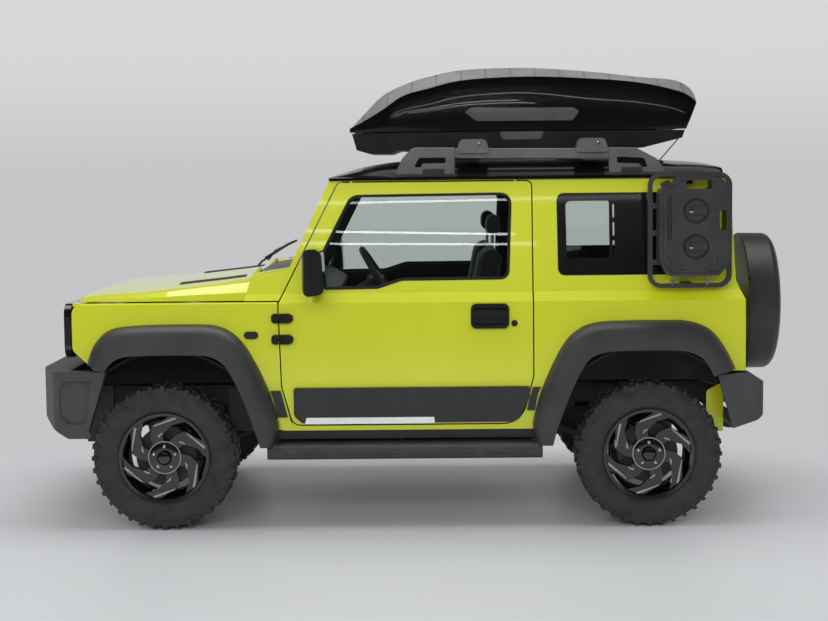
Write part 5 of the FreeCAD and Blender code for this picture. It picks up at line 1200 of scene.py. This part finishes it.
# x, half width, height of the shoulder and of the middle above the gutter
roof_rows = (
    (776, 640, 12, 13), (800, 644, 18, 22), (850, 648, 26, 40), (930, 650, 40, 66), (1104, 650, 54, 92),
    (1400, 650, 56, 96), (1800, 650, 56, 96), (2100, 650, 56, 95), (2480, 650, 54, 82), (2570, 648, 50, 72),
    (2634, 644, 44, 58), (2646, 640, 34, 42),
)


def build_roof(steps=72):
    """Roof skin with its gutter lip and shoulder, bowed at front and back."""
    rings = []
    for i in range(steps + 1):
        x, reach, shoulder, middle = eased(roof_rows, i / steps)
        half = [(gutter_half, 0.4), (gutter_half, min(12, shoulder)), (reach - 14, min(17, shoulder)),
                (reach - 30, shoulder * 0.6), (reach - 48, shoulder * 0.93),
                (reach - 70, shoulder + (middle - shoulder) * 0.12),
                (450, shoulder + (middle - shoulder) * 0.50), (250, shoulder + (middle - shoulder) * 0.84)]
        into_tail = max(0, (x - tail_start) / (roof_rows[-1][0] - tail_start))
        ring = []
        for y, z in [(-y, z) for y, z in half] + [(0, middle)] + [(y, z) for y, z in reversed(half)]:
            share = 1 - (y / gutter_half) ** 2
            if x < bow_end:
                shift = -front_bow * share * max(0, (bow_end - x) / (bow_end - roof_rows[0][0]))
            else:
                shift = (tail_bow * share - tail_sweep) * into_tail
            ring.append((fore(x + shift), y / 1000, gutter_z + z / 1000))
        rings.append(ring)
    return loft("roof_skin", rings)


solid("roof_skin", build_roof(), roof_black, "body", sharp=28, stands_for=("roof",))
rail_y = 0.609
front_foot = fore_shape((1085, 1634, 3), (1090, 1652, 20), (1116, 1712, 40), (1165, 1764, 50),
                        (1363, 1762, 3), (1363, 1634, 3))
rear_foot = aft_shape((-168, 1634, 3), (-168, 1756, 3), (-40, 1753, 50), (55, 1702, 40), (90, 1655, 20),
                      (95, 1634, 3))
beam = rounded(fore_rows(((1355, 1712, 8), (1355, 1758, 10))) + aft_rows(((-160, 1752, 10), (-160, 1704, 8))))
recess_shapes = (
    fore_shape((1172, 1672, 6), (1196, 1716, 16), (1320, 1716, 6), (1320, 1690, 6), (1214, 1690, 8),
               (1204, 1672, 4)),
    fore_shape((2262, 1664, 6), (2244, 1706, 16), (2120, 1712, 6), (2120, 1684, 6), (2224, 1680, 8),
               (2234, 1664, 4)),
)
block_shapes = [fore_shape((x0, 1628, 3), (x0, 1664, 3), (x1, 1664, 3), (x1, 1628, 3))
                for x0, x1 in ((1212, 1312), (2140, 2236))]
rails = []
recesses = []
blocks = []
for side in (-1, 1):
    low, high = side * (rail_y - 0.016), side * (rail_y + 0.016)
    rails += [slab(front_foot, low, high), slab(rear_foot, low, high),
              slab(beam, side * (rail_y - 0.012), side * (rail_y + 0.012))]
    recesses += [slab(shape, high - side * 0.001, high + side * 0.0012) for shape in recess_shapes]
    blocks += [slab(shape, high - side * 0.002, high + side * 0.007) for shape in block_shapes]
solid("rail_frames", rails, rail_black, "body", bevel=0.005, sharp=40,
      stands_for=("roof_rails",))
solid("rail_recesses", recesses, gloss_black, "body")
solid("rail_foot_blocks", blocks, trim_plastic, "body", bevel=0.0015)
aerial_y = -0.50
aerial = tube([(aft(88), aerial_y, 1.690), (aft(90), aerial_y, 1.699), (aft(177), aerial_y, 1.800)], 0.0028,
              sides=10)
puck = tube([(aft(84), aerial_y, 1.668), (aft(92), aerial_y, 1.694)], 0.013, sides=20)
solid("aerial", [aerial, puck], trim_plastic, "body")
bolt_z = 1.776
bolt_head = lathe(((0.0, 0.0), (0.0, 0.006), (-0.002, 0.007), (-0.004, 0.005), (-0.004, 0.0)), steps=20)
clamp_bolts = []
for x in (fore(1476), aft(-220)):
    for side in (-1, 1):
        at = Matrix.Translation((x, face_of("cross_bars", x, bolt_z, side), bolt_z))
        clamp_bolts.append(moved(bolt_head, at @ Matrix.Rotation(math.pi if side > 0 else 0, 4, "Z")))
solid("clamp_bolts", clamp_bolts, bright_steel, "body")


# ---------------------------------------------------------------- roof box
# Vacuum-formed box: gloss black flanks and crown, a grey ribbed band along
# each shoulder of the lid, a dark pressed fin on each flank and a lock plate
# with its key below it.
lid_seam = 1.8432
tail_foot = 2474     # the lid's tail is cut off by a plane that leans back from here
tail_lean = 0.42
band_strips = (5, 6, 7, 8, 13, 14, 15, 16)
# x, half widths of seam, shoulder and crown, and heights of shoulder and crown above the seam
lid_rows = (
    (858, 276, 272, 236, 20, 30), (930, 336, 330, 272, 55, 104), (1019, 400, 394, 320, 104, 187),
    (1120, 417, 410, 326, 170, 238), (1240, 428, 420, 330, 203, 276), (1418, 432, 424, 335, 242, 308),
    (1715, 434, 426, 335, 255, 315), (2016, 434, 424, 335, 243, 295), (2250, 430, 420, 330, 222, 268),
    (2430, 422, 412, 320, 182, 251), (2500, 416, 404, 306, 150, 221), (2531, 405, 396, 296, 118, 186),
)


def build_lid(steps=66):
    """Lid as a smooth skin over its sections, closed at nose, tail and underside."""
    rings = []
    for i in range(steps + 1):
        x, seam, shoulder, crown, low_rise, rise = eased(lid_rows, i / steps)
        half = [
            (seam, 0.0), (seam + 1.5, low_rise * 0.18), (seam + 2, low_rise * 0.45),
            (shoulder + 4, low_rise * 0.8), (shoulder + 1.5, low_rise * 0.95), (shoulder - 2, low_rise),
            (shoulder - 6, low_rise + (rise - low_rise) * 0.10),
            (crown + 8, rise - 16 - (rise - low_rise) * 0.10), (crown - 6, rise - 16),
            (crown * 0.78, rise - 9), (crown * 0.4, rise - 2), (0.0, rise),
        ]
        ring = [(-y, z) for y, z in half] + [(y, z) for y, z in reversed(half[:-1])]
        rings.append([(fore(min(x, tail_foot + tail_lean * z)), y / 1000, lid_seam + z / 1000)
                      for y, z in ring])
    return loft("roof_box_lid", rings, second=band_strips)


groove_pitch = 0.118


def ribbed_band(name):
    """Grey matt plastic with a shallow groove across it at every pitch, each groove painted darker as painted
    shade.
    """
    material, tree, shader = new_material(name)
    _, axes = object_axes(tree)
    pattern = surface_pattern(tree, 1200, 7)
    place = maths(tree, "FRACT", maths(tree, "DIVIDE", axes["X"], groove_pitch))
    groove = maths(tree, "LESS_THAN", place, 0.06)
    ground = ramp(tree, pattern["Blotch"], [(0.3, (0.125, 0.127, 0.127)), (0.7, (0.17, 0.172, 0.172))])
    # painted shade: the grooves take a darker grey than the rest of the band
    tree.links.new(mix_tone(tree, groove, ground, (0.08, 0.08, 0.081)), shader.inputs["Base Color"])
    tree.links.new(maths(tree, "ADD", maths(tree, "MULTIPLY", pattern["Blotch"], 0.1), 0.42),
                   shader.inputs["Roughness"])
    raise_surface(tree, shader, maths(tree, "SUBTRACT", pattern["Height"], groove), 0.3, 0.001)
    return material


lid_mesh = build_lid()
lid_mesh.materials.append(gloss_black)
lid_mesh.materials.append(ribbed_band("lid_band"))
solid("box_lid_shell", lid_mesh, gloss_black, "roof_box_lid", sharp=24, stands_for=("roof_box_lid",))
box_black = finish("box_black", (0.006, 0.006, 0.0065), (0.010, 0.010, 0.0105), 0.36, grain=1300, blotch=6,
                   bump=0.15, depth=0.0003)
dress(box_black, "roof_box_base")
fin_grey = finish("fin_grey", (0.05, 0.05, 0.053), (0.068, 0.068, 0.071), 0.45, grain=1500, blotch=12,
                  bump=0.2)
ridge_place = (0.443, 1.930)
fin_low = fore_shape((1415, 1930, 2), (1962, 1930, 2), (1930, 1888, 8), (1472, 1888, 8))
fin_high = fore_shape((1415, 1930, 2), (1447, 1956, 6), (1925, 1956, 6), (1962, 1930, 2))


def leaning(side, ridge_y, ridge_z, lean):
    """Lays an outline that leans back from its ridge."""
    def lay(u, v, depth):
        return u, side * (ridge_y + depth - lean * abs(v - ridge_z)), v
    return lay


fins = [slab(shape, -0.012, 0.0, leaning(side, *ridge_place, lean))
        for side in (-1, 1) for shape, lean in ((fin_low, 0.10), (fin_high, 0.34))]
solid("box_fins", fins, fin_grey, "roof_box_lid", bevel=0.003)
lock_plate = rounded([(422, 1838, 6), (634, 1838, 6), (618, 1800, 12), (434, 1800, 12)])
base_y = face_of("roof_box_base", 0.53, 1.82)
key_shape = disc(446, 1819, 7, 20)
plates = []
keys = []
for side in (-1, 1):
    plate_y = -side * base_y
    plates.append(slab(lock_plate, plate_y - side * 0.002, plate_y + side * 0.0015))
    keys.append(slab(key_shape, plate_y, plate_y + side * 0.003))
solid("box_lock_plates", plates, fin_grey, "body", bevel=0.001)
solid("box_lock_keys", keys, bright_steel, "body")


# ---------------------------------------------------------------- fuel can and its carrier
# A flat moulded can with raised ribs, held by two turn locks on a steel loop
# outside the left quarter window. Bright pins show at locks and loop.
can_plastic = finish("can_plastic", (0.026, 0.026, 0.027), (0.037, 0.037, 0.038), 0.40, grain=1300, blotch=8,
                     bump=0.25, depth=0.0004)
dress(step_black, "can_carrier")
dress(can_plastic, "jerry_can")
turn_lock_x = aft(172)
turn_lock_heights = (1463, 1301)
rib_radius = 0.0065
rib_runs = (
    ((57, 1262), (70, 1225), (105, 1195), (150, 1190)),
    ((345, 1262), (333, 1222), (300, 1193), (255, 1190)),
    ((62, 1500), (62, 1300)),
)
can_parts = []
for run in rib_runs:
    on_can = [(aft(x), face_of("jerry_can", aft(x), z / 1000) + 0.003, z / 1000) for x, z in run]
    can_parts.append(tube(on_can, rib_radius))
pins = []
for z in turn_lock_heights:
    bar_y = face_of("jerry_can", turn_lock_x, z / 1000)
    bar = aft_shape((160, z + 14, 13), (245, z + 14, 13), (245, z - 14, 13), (160, z - 14, 13))
    can_parts.append(slab(bar, bar_y + 0.001, bar_y - 0.0045))
    pin = lathe(((0.0, 0.0), (0.0, 0.009), (-0.002, 0.009), (-0.003, 0.007), (-0.003, 0.0)), steps=24)
    pins.append(moved(pin, Matrix.Translation((turn_lock_x, bar_y - 0.004, z / 1000))))
solid("can_ribs", can_parts, can_plastic, "body")
pin_y = -0.775
for x in (aft(108), aft(267)):
    pins.append(tube([(x, pin_y, 1.118), (x, pin_y, 1.176)], 0.006))
    pins.append(tube([(x - 0.012, pin_y, 1.140), (x + 0.012, pin_y, 1.140)], 0.004))
for x in (aft(132), aft(262)):
    pins.append(tube([(x, -0.762, 1.606), (x, -0.762, 1.634)], 0.010))
solid("can_lock_pins", pins, bright_steel, "body")


# ---------------------------------------------------------------- spare wheel
# The side-hinged tailgate carries the spare under a hard drum cover with a
# lock in its edge, of which the bright ring shows.
cover_black = finish("cover_black", (0.022, 0.022, 0.023), (0.030, 0.030, 0.031), 0.42, grain=1500, blotch=8,
                     bump=0.2, depth=0.0003)
dress(cover_black, "spare_wheel_cover")
lock_turn = math.radians(22.5)
lock_at = Matrix.Translation((aft(551), 0, 0.984)) @ Matrix.Rotation(-lock_turn, 4, "X")
lock_ring = lathe(((-0.3445, 0.004), (-0.3445, 0.009), (-0.340, 0.011), (-0.336, 0.011), (-0.336, 0.004)),
                  steps=24)
solid("spare_lock", moved(lock_ring, lock_at), bright_steel, "tailgate")


# ---------------------------------------------------------------- seats and bench
# Foam cushions in woven cloth on moulded bases. The foam swells its cover
# between sewn channels.
def cloth_finish(name, dark, light):
    """Woven cloth: fine crossed threads over slow shade changes."""
    material, tree, shader = new_material(name)
    where = tree.nodes.new("ShaderNodeTexCoord")
    pattern = surface_pattern(tree, blotch=9)
    threads = []
    for axis in ("X", "Z"):
        wave = tree.nodes.new("ShaderNodeTexWave")
        wave.bands_direction = axis
        wave.inputs["Scale"].default_value = 240
        wave.inputs["Distortion"].default_value = 0.6
        tree.links.new(where.outputs["Object"], wave.inputs["Vector"])
        threads.append(wave.outputs["Fac"])
    weave = maths(tree, "MULTIPLY", threads[0], threads[1])
    share = maths(tree, "ADD", maths(tree, "MULTIPLY", weave, 0.5),
                  maths(tree, "MULTIPLY", pattern["Blotch"], 0.5))
    tree.links.new(ramp(tree, share, [(0.2, dark), (0.7, light)]), shader.inputs["Base Color"])
    shader.inputs["Roughness"].default_value = 0.85
    shader.inputs["Sheen Weight"].default_value = 0.2
    raise_surface(tree, shader, weave, 0.4, 0.0005)
    return material


seat_cloth = cloth_finish("seat_cloth", (0.012, 0.012, 0.013), (0.028, 0.028, 0.030))
swell_cap = 0.016
swell_frames = 20
channel_half = 0.014
channel_depth = 0.006


def puffed(mesh, channels):
    """Swells a cushion form by cloth with a little pressure, then sews channels into it."""
    pad = put(bpy.data.objects.new("pad", mesh))
    grid = pad.modifiers.new("even_grid", "REMESH")
    grid.mode = "VOXEL"
    grid.voxel_size = 0.008
    graph = bpy.context.evaluated_depsgraph_get()
    start = bpy.data.meshes.new_from_object(pad.evaluated_get(graph))
    pad.modifiers.clear()
    pad.data = start
    rest = [vert.co.copy() for vert in start.vertices]
    cloth = pad.modifiers.new("cover", "CLOTH")
    cloth.settings.use_pressure = True
    cloth.settings.uniform_pressure_force = 4
    cloth.settings.effector_weights.gravity = 0
    for number in range(1, swell_frames + 1):
        bpy.context.scene.frame_set(number)
    graph = bpy.context.evaluated_depsgraph_get()
    blown = bpy.data.meshes.new_from_object(pad.evaluated_get(graph))
    for vert, place in zip(blown.vertices, rest):
        step = vert.co - place
        if step.length > swell_cap:
            vert.co = place + step.normalized() * swell_cap
    pad.modifiers.clear()
    pad.data = blown
    bpy.context.scene.frame_set(1)
    swollen_mesh = pad.data
    for vert in swollen_mesh.vertices:
        for axis, place in channels:
            gap = abs(vert.co[axis] - place)
            if gap < channel_half:
                vert.co -= vert.normal * channel_depth * (1 - gap / channel_half)
    result = swollen_mesh.copy()
    bpy.data.objects.remove(pad)
    return result


def cushion(name, outline, half_width, channels, places):
    """One cushion form, swelled once and set at each of its places."""
    form = puffed(slab(outline, -half_width, half_width), [(1, y) for y in channels])
    for place_name, shift in places:
        piece_mesh = moved(form, Matrix.Translation((0, shift, 0)))
        piece = put(bpy.data.objects.new(f"{name}_{place_name}", piece_mesh))
        fine = piece.modifiers.new("smooth_cover", "SUBSURF")
        fine.levels = fine.render_levels = 1
        piece_mesh.polygons.foreach_set("use_smooth", [True] * len(piece_mesh.polygons))
        piece_mesh.materials.append(seat_cloth)
        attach(piece, "body")


seat_y = 0.355
seat_places = (("left", -seat_y), ("right", seat_y))
base = slab(fore_shape((1000, 612, 20), (1000, 668, 20), (1430, 668, 20), (1430, 612, 20)), -0.18, 0.18)
low_base = slab(fore_shape((1010, 560, 5), (1010, 620, 5), (1420, 620, 5), (1420, 560, 5)), -0.17, 0.17)
seat_bases = [moved(form, Matrix.Translation((0, shift, 0))) for _, shift in seat_places
              for form in (base, low_base)]
solid("seat_bases", seat_bases, trim_plastic, "body", bevel=0.004, stands_for=("front_seats",))
cushion("seat_cushion", fore_shape((992, 668, 30), (990, 785, 50), (1425, 760, 30), (1425, 668, 20)), 0.205,
        (-0.12, 0.12), seat_places)
cushion("seat_back", fore_shape((1400, 778, 30), (1504, 1300, 40), (1582, 1290, 40), (1492, 760, 40)), 0.195,
        (-0.11, 0.11), seat_places)
cushion("seat_headrest", fore_shape((1512, 1345, 30), (1520, 1442, 30), (1582, 1442, 30), (1582, 1345, 30)),
        0.105, (), seat_places)
stalks = [tube([(fore(1545), shift + lean, 1.27), (fore(1548), shift + lean, 1.38)], 0.006)
          for _, shift in seat_places for lean in (-0.05, 0.05)]
solid("headrest_stalks", stalks, bright_steel, "body")

bench_y = 0.225
bench_places = (("left", -bench_y), ("right", bench_y))
cushion("bench_cushion", aft_shape((-420, 700, 30), (-424, 830, 50), (-30, 800, 30), (-30, 700, 20)), 0.218,
        (-0.12, 0.12), bench_places)
cushion("bench_back", aft_shape((-90, 800, 30), (30, 1180, 30), (88, 1170, 30), (-22, 790, 30)), 0.218,
        (-0.12, 0.12), bench_places)
bench_base = slab(aft_shape((-405, 640, 10), (-405, 712, 10), (-40, 712, 10), (-40, 640, 10)), -0.42, 0.42)
solid("bench_base", bench_base, trim_plastic, "body", bevel=0.004, stands_for=("rear_bench",))


# ---------------------------------------------------------------- dressed car's box
# The dressed car's box, over every shown solid but the floor.
low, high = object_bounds()
